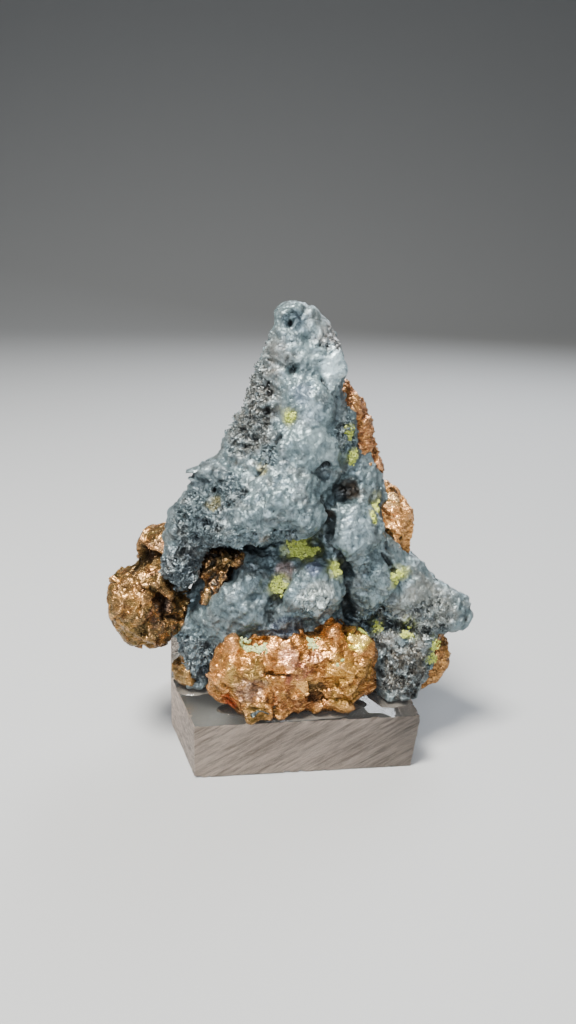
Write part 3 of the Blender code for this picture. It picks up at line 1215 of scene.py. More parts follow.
@dataclass
class CopperMass:
    """One mass of native copper, cut from the metal where its lumps are.

    A mass that lies apart is made of its own lumps instead. The skin is crumpled by folds in three
    sizes and by tilted ledges, and the grain draws the two finer ones out along the axes.
    """

    name: str
    lumps: Sequence[Lump]
    tone: str
    tints: Sequence[Tint] = ()
    veins: Sequence[Vein] = (
        Vein("#5c3018", 0.6, 0.9),
        Vein("#f0b060", 0.4, 0.7),
        Vein("#7c6a30", 0.3, 1.8),
    )
    apart: bool = False
    swell: float = 0.45
    ragged: float = 0.6
    ragged_width: float = 1.5
    region_cell: float = 0.3
    cell: float = 0.13
    crumple: float = 0.8
    crumple_width: float = 2.7
    fold: float = 0.42
    fold_width: float = 1.3
    wrinkle: float = 0.28
    wrinkle_width: float = 0.6
    ledge: float = 0.5
    ledge_width: float = 2.2
    grain: Triple = (0.75, 1.0, 1.9)
    seams: Sequence[Seam] = ()
    swells: Sequence[Swell] = ()
    # Zones of wear and painted highlight, where the skin counts as raised and pales to the ridge tone,
    # and their lift
    worn_and_highlit: Sequence[Zone] = ()
    worn_and_highlit_lift: float = 0.5
    broken: float = 0.25
    seed: float = 0.0

    def build(
        self, metal: bpy.types.Object, solid: BVHTree, finish: bpy.types.Material
    ) -> bpy.types.Object:
        """Make the mass, crumple its skin and dress it.

        Args:
            metal: the whole metal, as one closed object, which the mass is cut out of unless it
                lies apart.
            solid: the same metal, for finding crevices, whose tone is darkened as painted shade.
            finish: the copper's material.

        Returns:
            The finished piece.
        """
        if self.apart:
            piece = Shape.lumps(self.name, self.lumps, 0.0, self.cell)
        else:
            piece = self.cut_from(metal)
        skin = Skin(piece.data)
        skin.push(self.heights(skin.points))
        # Painted highlight and wear: these zones count as raised, so the material pales them, and they
        # stay clear of veins
        worn_and_highlit = strongest(self.worn_and_highlit, skin.points)
        skin.store("height", np.minimum(skin.stand_out(40, 0.6) + self.worn_and_highlit_lift * worn_and_highlit, 1.0))
        skin.store("broken", np.full(len(skin.points), self.broken))
        # Painted shade: how much of the view the metal blocks darkens each point's tone
        depth = skin.buried(solid)
        skin.paint(self.tone, self.tints, self.veins, self.seed, depth, worn_and_highlit)
        piece.data.materials.clear()
        piece.data.materials.append(finish)
        piece.data.shade_smooth()
        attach(piece, "root")
        return piece

    def cut_from(self, metal: bpy.types.Object) -> bpy.types.Object:
        """Cut out the part of the metal that lies in the lumps, with a ragged border.

        Args:
            metal: the whole metal, as one closed object.

        Returns:
            The part, as a piece with an even skin.
        """
        region = Shape.lumps("region", self.lumps, self.swell, self.region_cell)
        border = Skin(region.data)
        ragged = Pattern.rubble(border.points, self.ragged_width, self.seed + 3.0)
        border.push(self.ragged * ragged)
        piece = Shape.link(self.name, metal.data.copy())
        cut = piece.modifiers.new("region", "BOOLEAN")
        cut.operation = "INTERSECT"
        cut.object = region
        Shape.bake(piece)
        Shape.discard(region)
        Shape.fuse(piece, self.cell, 2)
        return piece

    def heights(self, points: np.ndarray) -> np.ndarray:
        """Work out how far the skin stands out.

        Args:
            points: the skin's points, in millimetres.

        Returns:
            One height a point.
        """
        drawn = points * np.array(self.grain)
        heights = -self.crumple * Pattern.folds(points, self.crumple_width, self.seed)
        heights -= self.fold * Pattern.folds(drawn, self.fold_width, self.seed + 7.0)
        heights -= self.wrinkle * Pattern.folds(drawn, self.wrinkle_width, self.seed + 13.0)
        heights += self.ledge * Pattern.facets(points, self.ledge_width, self.seed)
        for seam in self.seams:
            heights -= seam.depth * seam.weight(points)
        for swell in self.swells:
            heights += swell.height * swell.weight(points)
        return heights


@dataclass
class SilverMass:
    """The tarnished silver: the whole metal, sunk a little where copper covers it."""

    name: str = "tarnished_silver"
    parts: int = 3
    cell: float = 0.14
    sink: float = 1.8
    tone: str = "#6a7c80"
    veins: Sequence[Vein] = (
        Vein("#6b6a66", 0.45, 1.8),
        Vein("#3e464c", 0.5, 0.7),
        Vein("#a4b4b8", 0.35, 1.2),
    )
    hackly: Sequence[Zone] = (
        Zone((-4.2, -1.5, 38.6), 3.8),
        Zone((-4.8, -2.0, 35.4), 4.4),
        Zone((-2.6, -1.0, 42.0), 2.8),
        Zone((-0.4, -3.2, 42.0), 1.3),
        Zone((2.9, -3.0, 43.2), 1.5),
        Zone((-3.0, -5.5, 33.0), 1.8),
        Zone((-9.0, -4.5, 25.6), 4.8),
        Zone((-6.6, -4.6, 28.4), 3.0),
        Zone((-11.6, -4.4, 20.2), 3.6),
        Zone((-5.5, -8.0, 23.4), 3.8),
        Zone((-1.6, -7.6, 24.6), 2.4),
        Zone((-10.3, -3.6, 10.5), 4.0),
        Zone((12.0, -7.6, 9.6), 4.8),
        Zone((14.4, -5.6, 14.6), 3.8),
        Zone((9.0, -6.0, 14.6), 3.2),
        Zone((4.6, -3.4, 34.6), 2.6),
        Zone((1.8, -8.2, 18.4), 2.2),
        Zone((-6.0, 5.0, 30.0), 5.0),
        Zone((8.0, 6.0, 16.0), 5.0),
        Zone((-7.0, 7.0, 12.0), 4.5),
        Zone((2.0, 4.0, 40.0), 4.0),
    )
    calm: Sequence[Zone] = (
        Zone((1.2, -6.0, 35.0), 4.6),
        Zone((0.6, -4.8, 39.8), 3.2),
        Zone((3.9, -3.6, 41.3), 2.4),
        Zone((5.6, -7.6, 25.4), 3.8),
        Zone((-4.6, -7.4, 16.6), 4.6),
        Zone((1.7, -7.4, 21.6), 1.8),
        Zone((13.5, -5.6, 17.6), 3.0),
        Zone((0.0, 6.0, 27.0), 4.5),
        Zone((-6.6, 7.0, 18.5), 3.6),
    )
    folded: Sequence[Zone] = (Zone((-4.6, -7.4, 16.0), 5.0), Zone((-0.4, -7.6, 15.4), 3.0))
    rippled: Sequence[Zone] = (Zone((5.4, -7.4, 24.6), 4.4),)
    ripple_top: Triple = (5.6, -4.4, 29.0)
    tints: Sequence[Tint] = (
        Tint((-9.0, -4.0, 27.0), 7.5, "#4b585c", 0.9),
        Tint((-4.6, -7.4, 17.6), 6.5, "#5c6c71", 0.85),
        Tint((-11.6, -4.4, 20.2), 4.6, "#474f54", 0.9),
        Tint((14.0, -6.0, 16.0), 6.0, "#8a8c85", 0.85),
        Tint((12.0, -7.6, 9.6), 5.4, "#7c7160", 0.85),
        # Painted shade: the dark tint under the lower right lump's overhang
        Tint((12.6, -7.6, 7.6), 2.6, "#2f2d2a", 0.8),
        Tint((9.6, -6.4, 13.6), 2.6, "#8a8a84", 0.7),
        Tint((-10.3, -4.3, 10.0), 4.6, "#5c676b", 0.8),
        Tint((-4.2, -2.0, 38.4), 4.8, "#68665f", 0.85),
        Tint((-4.4, -2.6, 34.8), 4.4, "#62615b", 0.85),
        Tint((-2.2, -3.0, 42.4), 2.6, "#7f7d77", 0.7),
        Tint((3.4, -2.6, 44.0), 2.6, "#a39d97", 0.7),
        Tint((0.4, -3.4, 45.6), 1.6, "#73858f", 0.8),
        Tint((1.7, -3.4, 44.9), 1.0, "#9ab0b6", 0.8),
        Tint((0.8, -4.0, 42.6), 1.8, "#90a6aa", 0.8),
        Tint((0.2, -5.4, 39.0), 1.5, "#6c7c8a", 0.8),
        Tint((1.4, -6.0, 37.0), 2.0, "#a0b4bc", 0.8),
        Tint((3.9, -3.8, 41.1), 2.7, "#d2eaf0", 1.0),
        Tint((2.6, -6.6, 34.4), 3.2, "#92a6aa", 0.85),
        Tint((0.6, -7.5, 31.0), 3.4, "#788c90", 0.8),
        Tint((5.4, -7.7, 25.4), 3.6, "#8b9da3", 0.85),
        Tint((1.7, -8.6, 19.0), 2.8, "#b8c2be", 0.9),
        Tint((1.7, -7.4, 21.8), 1.5, "#58627a", 0.85),
        Tint((-0.8, -7.6, 14.9), 2.8, "#2c3140", 0.95),
        Tint((-4.4, -8.0, 14.4), 2.8, "#333b45", 0.9),
        Tint((-1.0, -5.6, 20.8), 1.9, "#a08c86", 0.9),
        Tint((-7.6, -1.6, 20.4), 2.6, "#6c5232", 0.9),
        Tint((-8.6, -3.2, 17.8), 1.5, "#8c6c3c", 0.9),
        Tint((-7.0, -4.2, 21.4), 1.3, "#7a6040", 0.8),
        Tint((5.8, -3.0, 28.8), 1.9, "#6a5a48", 0.85),
        Tint((3.0, -6.0, 26.6), 1.5, "#6e5d4e", 0.8),
        Tint((-3.7, -5.6, 31.6), 1.2, "#8f8a5c", 0.85),
        Tint((-8.2, -5.2, 27.8), 1.4, "#807a52", 0.85),
        Tint((-3.4, -7.8, 25.0), 1.0, "#8a8272", 0.7),
        Tint((-4.0, 6.0, 20.0), 3.5, "#7c7a74", 0.7),
        Tint((6.6, 6.4, 22.0), 3.0, "#86705c", 0.6),
        Tint((0.0, 5.4, 35.0), 3.4, "#8d9b9e", 0.6),
        Tint((-8.0, 4.0, 24.0), 4.2, "#4c5659", 0.85),
        Tint((4.6, 6.0, 28.0), 3.4, "#8f9c9f", 0.8),
        Tint((4.0, 7.0, 12.0), 4.4, "#5d5f5c", 0.85),
        Tint((-3.0, 6.4, 26.4), 2.6, "#77736c", 0.8),
        Tint((-7.6, 6.0, 13.0), 3.4, "#56564f", 0.8),
        Tint((2.4, 4.6, 41.0), 2.4, "#7b7974", 0.8),
    )
    swells: Sequence[Swell] = (
        Swell((-2.4, -2.2, 43.6), 2.6, 0.9),
        Swell((3.9, -3.9, 41.2), 2.3, 0.55),
        Swell((4.6, -3.4, 43.2), 1.2, -0.5),
        Swell((-0.6, -4.2, 41.2), 0.9, -0.5),
        Swell((1.4, -4.2, 42.8), 0.8, -0.4),
        Swell((2.6, -7.0, 36.2), 1.1, -0.35),
        Swell((0.4, -6.8, 37.4), 0.9, -0.3),
        Swell((2.2, -7.4, 33.6), 1.0, -0.35),
        Swell((-0.6, -6.8, 33.0), 1.2, -0.4),
        Swell((2.6, -6.4, 32.0), 0.75, -1.4),
        Swell((-0.9, -3.2, 45.4), 0.6, -0.8),
    )
    seams: Sequence[Seam] = (
        Seam(((2.5, -6.5, 28.7), (2.9, -6.4, 27.3), (3.3, -6.0, 25.8), (3.4, -5.6, 24.1)), 1.0, 1.0),
        Seam(((3.4, -5.6, 24.1), (4.0, -6.8, 23.0), (4.7, -6.6, 22.0), (5.5, -6.2, 20.4)), 0.8, 0.7),
        Seam(((5.5, -6.2, 20.4), (5.2, -6.1, 18.7), (5.5, -5.0, 16.8), (6.3, -4.3, 14.6)), 0.8, 0.6),
        Seam(((-1.2, -6.8, 20.4), (-1.9, -7.1, 18.5), (-2.7, -6.8, 17.2), (-2.6, -7.2, 16.0)), 1.0, 0.6),
        Seam(((7.6, -5.4, 14.4), (10.2, -6.0, 14.5), (12.2, -6.7, 14.2), (15.2, -6.2, 13.4)), 0.9, 1.1),
        Seam(((-2.0, -5.5, 34.8), (-2.4, -5.5, 33.6), (-3.2, -5.6, 32.4), (-4.4, -5.4, 31.0)), 0.6, 0.7),
        Seam(((2.2, -4.4, 41.6), (2.6, -4.6, 40.0), (3.3, -4.9, 39.0), (4.3, -3.9, 38.4)), 0.45, 0.35),
        Seam(((-13.6, -3.6, 19.4), (-12.6, -4.2, 18.4), (-11.4, -3.4, 17.2)), 0.7, 0.7),
        Seam(((-6.0, -5.4, 30.4), (-5.0, -6.4, 28.6), (-3.4, -7.4, 27.4)), 0.6, 0.5),
        Seam(((8.3, -5.6, 25.2), (9.2, -5.6, 22.6), (10.6, -6.0, 20.6)), 0.6, 0.6),
    )
    covers: Sequence[Lump] = ()
    stains: Sequence[Tint] = ()
    rubble: Layer = Layer(0.3, 2.6)
    calm_rubble: float = 0.1
    pillows: Layer = Layer(0.42, 1.7, 40.0)
    calm_pillows: float = 0.16
    creases: Layer = Layer(0.26, 0.72, 50.0)
    wide_dents: Layer = Layer(0.26, 1.7, 5.0)
    small_dents: Layer = Layer(0.17, 0.66, 9.0)
    spike_height: float = 0.75
    spike_width: float = 1.2
    spike_level: float = 0.7
    spike_pits: Layer = Layer(0.3, 0.55)
    spike_facets: Layer = Layer(0.4, 0.9)
    bulge_waves: Layer = Layer(0.34, 1.1, 3.0)
    bulge_grain: Triple = (0.45, 0.6, 1.0)
    ripple_height: float = 0.09
    ripple_pitch: float = 0.7
    ripple_bend: Layer = Layer(0.9, 1.6)
    ripple_gaps: Layer = Layer(1.0, 1.1, 8.0)
    # How much painted shade a seam adds to the crevice depth, for each millimetre of its depth
    seam_shade: float = 0.32
    flat_shading: float = 0.3

    def build(
        self, metal: bpy.types.Object, solid: BVHTree, finish: bpy.types.Material
    ) -> bpy.types.Object:
        """Refine the metal's skin, add its relief and dress it.

        Args:
            metal: the whole metal, as one closed object.
            solid: the same metal, for finding crevices, whose tone is darkened as painted shade.
            finish: the silver's material.

        Returns:
            The finished mass, still whole.
        """
        piece = Shape.link(self.name, metal.data.copy())
        Shape.fuse(piece, self.cell, 2, rounding=1)
        skin = Skin(piece.data)
        skin.push(self.heights(skin.points))
        skin.store("height", skin.stand_out(60, 0.8))
        calm = rise(0.0, 0.6, strongest(self.calm, skin.points))
        skin.store("broken", 0.17 * (1.0 - calm) + 0.83 * strongest(self.hackly, skin.points))
        # Painted shade: the tone darkens where the metal hides a point, and along the seams
        depth = skin.buried(solid)
        for seam in self.seams:
            depth = np.maximum(depth, self.seam_shade * seam.depth * seam.weight(skin.points))
        tints = (*self.tints, *self.stains)
        skin.paint(self.tone, tints, self.veins, depth=depth, clear=0.5 * calm)
        piece.data.materials.clear()
        piece.data.materials.append(finish)
        self.shade(piece, skin)
        return piece

    def finish_parts(self, piece: bpy.types.Object) -> list[bpy.types.Object]:
        """Slice the mass into parts of a fair size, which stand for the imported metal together.

        Args:
            piece: the finished mass, which is removed.

        Returns:
            The finished parts.
        """
        parts = Shape.slice_up(piece, self.parts)
        for part in parts:
            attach(part, "root")
            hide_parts("native_silver")
        return parts

    def heights(self, points: np.ndarray) -> np.ndarray:
        """Work out how far the skin stands out.

        Args:
            points: the skin's points, in millimetres.

        Returns:
            One height a point.
        """
        rough = rise(0.02, 0.45, strongest(self.hackly, points))
        calm = strongest(self.calm, points) * (1.0 - rough)
        folded = rise(0.1, 0.6, strongest(self.folded, points))
        rippled = rise(0.1, 0.5, strongest(self.rippled, points))
        heights = self.rubble.cast(Pattern.rubble, points, self.calm_rubble * calm)
        heights -= self.pillows.cast(Pattern.folds, points, self.calm_pillows * calm)
        heights -= self.creases.cast(Pattern.folds, points)
        for swell in self.swells:
            heights += swell.height * swell.weight(points)
        for seam in self.seams:
            heights -= seam.depth * seam.weight(points)
        plain = (1.0 - rough) * (1.0 - 0.5 * calm)
        heights += Pattern.within(plain, points, self.dented)
        heights += Pattern.within(rough, points, self.jagged)
        heights += Pattern.within(folded, points, self.waved)
        heights += Pattern.within(rippled, points, self.wrinkled)
        return heights - self.sunk(points)

    def dented(self, points: np.ndarray) -> np.ndarray:
        """Return the dents of a plain skin."""
        wide = self.wide_dents.cast(Pattern.dents, points)
        return wide + self.small_dents.cast(Pattern.dents, points)

    def jagged(self, points: np.ndarray) -> np.ndarray:
        """Work out the spikes and hollows of a skin that broke hackly.

        Args:
            points: the skin's points, in millimetres.

        Returns:
            One height a point.
        """
        spikes = self.spike_height * (Pattern.ridges(points, self.spike_width) - self.spike_level)
        pits = self.spike_pits.cast(Pattern.dents, points)
        return spikes + pits + self.spike_facets.cast(Pattern.facets, points)

    def waved(self, points: np.ndarray) -> np.ndarray:
        """Return the soft wavy folds of the lower bulges, drawn out sideways."""
        return self.bulge_waves.cast(Pattern.dents, points * np.array(self.bulge_grain))

    def wrinkled(self, points: np.ndarray) -> np.ndarray:
        """Work out fine wrinkles in arcs round the tongue's top, broken here and there.

        Args:
            points: the skin's points, in millimetres.

        Returns:
            One height a point.
        """
        away = np.linalg.norm(points - np.array(self.ripple_top), axis=1)
        bent = away + self.ripple_bend.cast(Pattern.waves, points)
        kept = rise(-0.4, 0.2, self.ripple_gaps.cast(Pattern.waves, points))
        return self.ripple_height * np.sin(bent * math.tau / self.ripple_pitch) * kept

    def sunk(self, points: np.ndarray) -> np.ndarray:
        """Work out how deep the silver lies under copper, less under thin copper, with a step.

        Args:
            points: the skin's points, in millimetres.

        Returns:
            One depth a point.
        """
        deepest = np.zeros(len(points))
        for lump in self.covers:
            depth = min(self.sink, 0.6 * min(lump.half))
            deepest = np.maximum(deepest, depth * (1.0 - rise(-0.1, 0.3, lump.outside(points))))
        return deepest

    def shade(self, piece: bpy.types.Object, skin: Skin) -> None:
        """Leave hackly faces flat, so that each one glints, and shade the others smooth.

        Args:
            piece: the mass, changed in place.
            skin: its skin.
        """
        mesh = piece.data
        starts = np.empty(len(mesh.polygons), dtype=np.int64)
        mesh.polygons.foreach_get("loop_start", starts)
        corners = np.empty(len(mesh.loops), dtype=np.int64)
        mesh.loops.foreach_get("vertex_index", corners)
        rough = strongest(self.hackly, skin.points)[corners[starts]]
        mesh.shade_smooth()
        mesh.polygons.foreach_set("use_smooth", rough < self.flat_shading)
        mesh.update()


@dataclass
class HacklyFlakes:
    """Small angular flakes and thin leaves that stand out of the silver where it broke hackly.

    A flake's length, width and thickness are given as half sizes, each as a range.
    """

    name: str = "hackly_silver_flakes"
    count: int = 4200
    seed: int = 11
    lift: Pair = (-0.04, 0.1)
    lean: float = 0.8
    length: Pair = (0.12, 0.4)
    width: Pair = (0.06, 0.14)
    thickness: Pair = (0.04, 0.08)
    lowest: float = 7.2
    deepest: float = 0.1
    brightness: float = 0.55
    leaves: Sequence[Lump] = (
        Lump((-1.1, -3.4, 47.2), (1.1, 0.6, 0.08), (24, -18, 0)),
        Lump((-1.8, -3.2, 46.9), (0.6, 0.4, 0.08), (-20, -40, 20)),
        Lump((-9.9, -2.4, 30.8), (1.3, 0.9, 0.22), (0, -14, 10)),
        Lump((-10.0, -2.6, 29.8), (0.9, 0.7, 0.18), (10, 8, 0)),
    )

    def build(self, silver: bpy.types.Object, mass: SilverMass) -> bpy.types.Object:
        """Scatter the flakes over the silver's rough zones, and set the leaves.

        Args:
            silver: the finished silver mass.
            mass: its description, which says where it is rough.

        Returns:
            The finished piece.
        """
        draw = random.Random(self.seed)
        skin = Skin(silver.data)
        rough = strongest(mass.hackly, skin.points)
        rough *= (mass.sunk(skin.points) < self.deepest) * (skin.points[:, 2] > self.lowest)
        places = [leaf.place() for leaf in self.leaves]
        for index in draw.choices(range(len(rough)), rough, k=self.count):
            places.append(self.flake(draw, Vector(skin.points[index]), Vector(skin.normals[index])))
        piece = Shape.grains(self.name, places)
        flakes = Skin(piece.data)
        flakes.store("height", np.full(len(flakes.points), self.brightness))
        flakes.store("broken", np.ones(len(flakes.points)))
        flakes.paint(mass.tone, mass.tints, mass.veins)
        piece.data.materials.append(silver.data.materials[0])
        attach(piece, "root")
        return piece

    def flake(self, draw: random.Random, at: Vector, outward: Vector) -> Matrix:
        """Place one flake on the skin, leaning at random.

        Args:
            draw: where its random values come from.
            at: a point of the skin, in millimetres.
            outward: the skin's normal there.

        Returns:
            The matrix that makes a unit ball the flake.
        """
        at = at + outward * draw.uniform(*self.lift)
        turn = outward.to_track_quat("Z", "Y").to_matrix().to_4x4()
        angles = [draw.gauss(0.0, self.lean), draw.gauss(0.0, self.lean), draw.uniform(0.0, math.tau)]
        half = [draw.uniform(*span) * MM for span in (self.length, self.width, self.thickness)]
        leaned = Matrix.Translation(at * MM) @ turn @ Euler(angles).to_matrix().to_4x4()
        return leaned @ Matrix.Diagonal((*half, 1.0))


@dataclass
class MineralCrust:
    """Granular crust that grew in seams: loose patches of grains on the skin of other pieces."""

    name: str
    spots: Sequence[Zone]
    finish: PowderyCrust
    grains_per_area: float = 47.0
    patch_width: float = 0.9
    patch_share: float = 0.8
    patch_edge: float = 0.3
    half_width: Pair = (0.06, 0.17)
    grain_shape: Triple = (1.0, 0.8, 0.65)
    grain_lift: float = 0.03
    jitter: float = 0.1
    seed: int = 3

    def build(self, bases: Sequence[bpy.types.Object]) -> bpy.types.Object:
        """Grow the crust on the pieces that carry it.

        Args:
            bases: finished pieces whose skin the crust follows.

        Returns:
            The finished piece.
        """
        draw = random.Random(self.seed)
        skins = [Skin(base.data) for base in bases]
        points = np.concatenate([skin.points for skin in skins])
        normals = np.concatenate([skin.normals for skin in skins])
        places = []
        for spot in self.spots:
            weight = spot.weight(points)
            near = np.flatnonzero(weight > 0.0)
            if not len(near):
                LOG.warning("%s: no skin near %s", self.name, spot.at)
                continue
            patchy = Pattern.rubble(points[near], self.patch_width, self.seed * 3.7)
            spread = weight[near] - self.patch_edge + self.patch_share * patchy
            chance = rise(0.0, 0.3, spread)
            if not chance.any():
                continue
            count = int(self.grains_per_area * math.pi * spot.radius**2)
            for index in draw.choices(near.tolist(), chance.tolist(), k=count):
                places.append(self.grain(draw, Vector(points[index]), Vector(normals[index])))
        piece = Shape.grains(self.name, places)
        piece.data.materials.append(self.finish.build())
        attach(piece, "root")
        return piece

    def grain(self, draw: random.Random, at: Vector, outward: Vector) -> Matrix:
        """Place one angular grain, half sunk in the skin.

        Args:
            draw: where its random values come from.
            at: a point of the skin, in millimetres.
            outward: the skin's normal there.

        Returns:
            The matrix that makes a unit ball the grain.
        """
        width = draw.uniform(*self.half_width)
        turn = Euler([draw.uniform(0.0, math.tau) for _ in range(3)]).to_matrix().to_4x4()
        size = Matrix.Diagonal((*(width * share * MM for share in self.grain_shape), 1.0))
        moved = Vector([draw.uniform(-self.jitter, self.jitter) for _ in range(3)])
        return Matrix.Translation((at + outward * self.grain_lift + moved) * MM) @ turn @ size


@dataclass
class AcrylicBlock:
    """The hand-sawn block: polished sheet faces above and below, and frosted sawn sides."""

    name: str = "sawn_acrylic_block"
    corner_cut_width: float = 2.4
    corner_cut_depth: float = 10.5
    end_slant: float = 0.7
    end_reach: Pair = (0.9, 1.0)
    step: float = 0.2
    edge_break: float = 0.1
    saw_depth: float = 0.045
    saw_pitch: float = 0.6
    saw_rise: float = 0.45
    saw_stretch: float = 0.22
    chip_depth: float = 0.3
    chip_width: float = 0.9
    chip_reach: float = 0.4
    chip_range: Pair = (0.28, 0.5)
    chip_apart: float = 9.0

    def build(self) -> bpy.types.Object:
        """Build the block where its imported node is.

        Returns:
            The finished piece.
        """
        low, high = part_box("acrylic_block")
        made = bmesh.new()
        ring = self.outline(made, low, high)
        height = (high[2] - low[2]) / MM
        levels = [0.0, self.edge_break]
        rows = int(height / self.step)
        levels += [height * row / rows for row in range(1, rows)]
        levels += [height - self.edge_break, height]
        bottom = ring
        for below, above in zip(levels, levels[1:]):
            grown = bmesh.ops.extrude_edge_only(made, edges=ring)["geom"]
            points = [item for item in grown if isinstance(item, bmesh.types.BMVert)]
            ring = [item for item in grown if isinstance(item, bmesh.types.BMEdge)]
            bmesh.ops.translate(made, verts=points, vec=(0.0, 0.0, (above - below) * MM))
        sides = len(made.faces)
        bmesh.ops.contextual_create(made, geom=bottom)
        bmesh.ops.contextual_create(made, geom=ring)
        self.shape_sides(made, low, high)
        bmesh.ops.recalc_face_normals(made, faces=made.faces)
        made.faces.ensure_lookup_table()
        for index, face in enumerate(made.faces):
            face.material_index = 1 if index < sides else 0
            face.smooth = index < sides
        piece = Shape.from_bmesh(self.name, made)
        piece.data.materials.append(POLISHED_FINISH.build())
        piece.data.materials.append(SAWN_FINISH.build())
        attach(piece, "root")
        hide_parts("acrylic_block")
        return piece

    def outline(
        self, made: bmesh.types.BMesh, low: Sequence[float], high: Sequence[float]
    ) -> list[bmesh.types.BMEdge]:
        """Draw the underside's outline, with a point every step and one corner cut off.

        Args:
            made: the bmesh it goes in.
            low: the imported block's lowest corner, in metres.
            high: its highest corner.

        Returns:
            The outline's edges.
        """
        corners = [
            Vector((low[0] + self.corner_cut_width * MM, low[1], low[2])),
            Vector((high[0], low[1], low[2])),
            Vector((high[0], high[1], low[2])),
            Vector((low[0], high[1], low[2])),
            Vector((low[0], low[1] + self.corner_cut_depth * MM, low[2])),
        ]
        points = []
        for start, end in zip(corners, corners[1:] + corners[:1]):
            count = round((end - start).length / (self.step * MM))
            points += [made.verts.new(start.lerp(end, index / count)) for index in range(count)]
        return [made.edges.new(pair) for pair in zip(points, points[1:] + points[:1])]

    def shape_sides(
        self, made: bmesh.types.BMesh, low: Sequence[float], high: Sequence[float]
    ) -> None:
        """Slant the right end, break and chip the edges, and ridge the sides as a saw does.

        Args:
            made: the block, changed in place.
            low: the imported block's lowest corner, in metres.
            high: its highest corner.
        """
        points = np.array([vert.co for vert in made.verts]) / MM
        tall = (high[2] - low[2]) / MM
        share = points[:, 2] / tall
        rim = np.minimum(points[:, 2], tall - points[:, 2])
        across = points * np.array((self.saw_stretch, self.saw_stretch, 0.0))
        across[:, 2] = (points[:, 2] - self.saw_rise * (points[:, 0] - points[:, 1])) / self.saw_pitch
        depth = self.saw_depth * (Pattern.waves(across, 1.0) + 1.0)
        depth += self.edge_break * (rim < self.edge_break / 2)
        apart = self.chip_apart * np.round(share)
        level = np.stack((points[:, 0], points[:, 1], apart), axis=1)
        chips = rise(*self.chip_range, Pattern.rubble(level, self.chip_width, 2.0))
        depth += self.chip_depth * chips * (1.0 - rise(0.0, self.chip_reach, rim))
        middle = np.array(((low[0] + high[0]) / 2, (low[1] + high[1]) / 2, 0.0)) / MM
        inward = middle - points
        inward[:, 2] = 0.0
        inward /= np.linalg.norm(inward, axis=1)[:, None]
        moved = points + inward * depth[:, None]
        at_end = rise(*self.end_reach, points[:, 0] * MM / high[0])
        moved[:, 0] -= self.end_slant * (1.0 - share) * at_end
        for vert, place in zip(made.verts, moved):
            vert.co = Vector(place) * MM


@dataclass
class Adhesive:
    """One bead of clear adhesive squeezed out round a foot of the metal."""

    name: str
    node: str
    rim: float = 0.1
    crown: float = 0.4
    lift: float = 0.01
    waver: float = 0.14
    waver_width: float = 1.7
    setback: float = 0.2
    seed: float = 0.0

    def build(self, finish: bpy.types.Material) -> bpy.types.Object:
        """Build the bead over its packed pad.

        Args:
            finish: the adhesive's material.

        Returns:
            The finished piece.
        """
        low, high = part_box(self.node)
        block_low, block_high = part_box("acrylic_block")
        floor = block_high[2] + self.lift * MM
        middle = Vector(((low[0] + high[0]) / 2, (low[1] + high[1]) / 2, floor))
        half = ((high[0] - low[0]) / 2, (high[1] - low[1]) / 2)
        size = Matrix.Diagonal((half[0] + self.rim * MM, half[1] + self.rim * MM, self.crown * MM, 1.0))
        made = bmesh.new()
        bmesh.ops.create_icosphere(
            made, subdivisions=5, radius=1.0, matrix=Matrix.Translation(middle) @ size
        )
        geometry = list(made.verts) + list(made.edges) + list(made.faces)
        bmesh.ops.bisect_plane(
            made, geom=geometry, plane_co=middle, plane_no=(0.0, 0.0, -1.0), clear_outer=True
        )
        rim_edges = [edge for edge in made.edges if edge.is_boundary]
        bmesh.ops.contextual_create(made, geom=rim_edges)
        for vert in made.verts:
            away = vert.co - middle
            at = Vector((vert.co.x, vert.co.y, self.seed * MM)) / (self.waver_width * MM)
            wave = noise.noise(at)
            away.x *= 1.0 + self.waver * wave
            away.y *= 1.0 + self.waver * wave
            vert.co = middle + away
            vert.co.y = max(vert.co.y, block_low[1] + self.setback * MM)
        bmesh.ops.recalc_face_normals(made, faces=made.faces)
        piece = Shape.from_bmesh(self.name, made)
        piece.data.materials.append(finish)
        piece.data.shade_smooth()
        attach(piece, "root")
        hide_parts(self.node)
        return piece


@dataclass(frozen=True)
class Softbox:
    """A square light that faces the specimen: width in millimetres, power in watts."""

    name: str
    at: Triple
    width: float
    power: float
    colour: str

    def build(self, aim: Vector) -> None:
        """Add the light.

        Args:
            aim: the place it faces, in metres.
        """
        light = bpy.data.lights.new(self.name, "AREA")
        light.size = self.width * MM
        light.energy = self.power
        light.color = linear(self.colour)[:3]
        lamp = bpy.data.objects.new(self.name, light)
        lamp.location = Vector(self.at) * MM
        lamp.rotation_euler = (aim - lamp.location).to_track_quat("-Z", "Y").to_euler()
        bpy.context.scene.collection.objects.link(lamp)


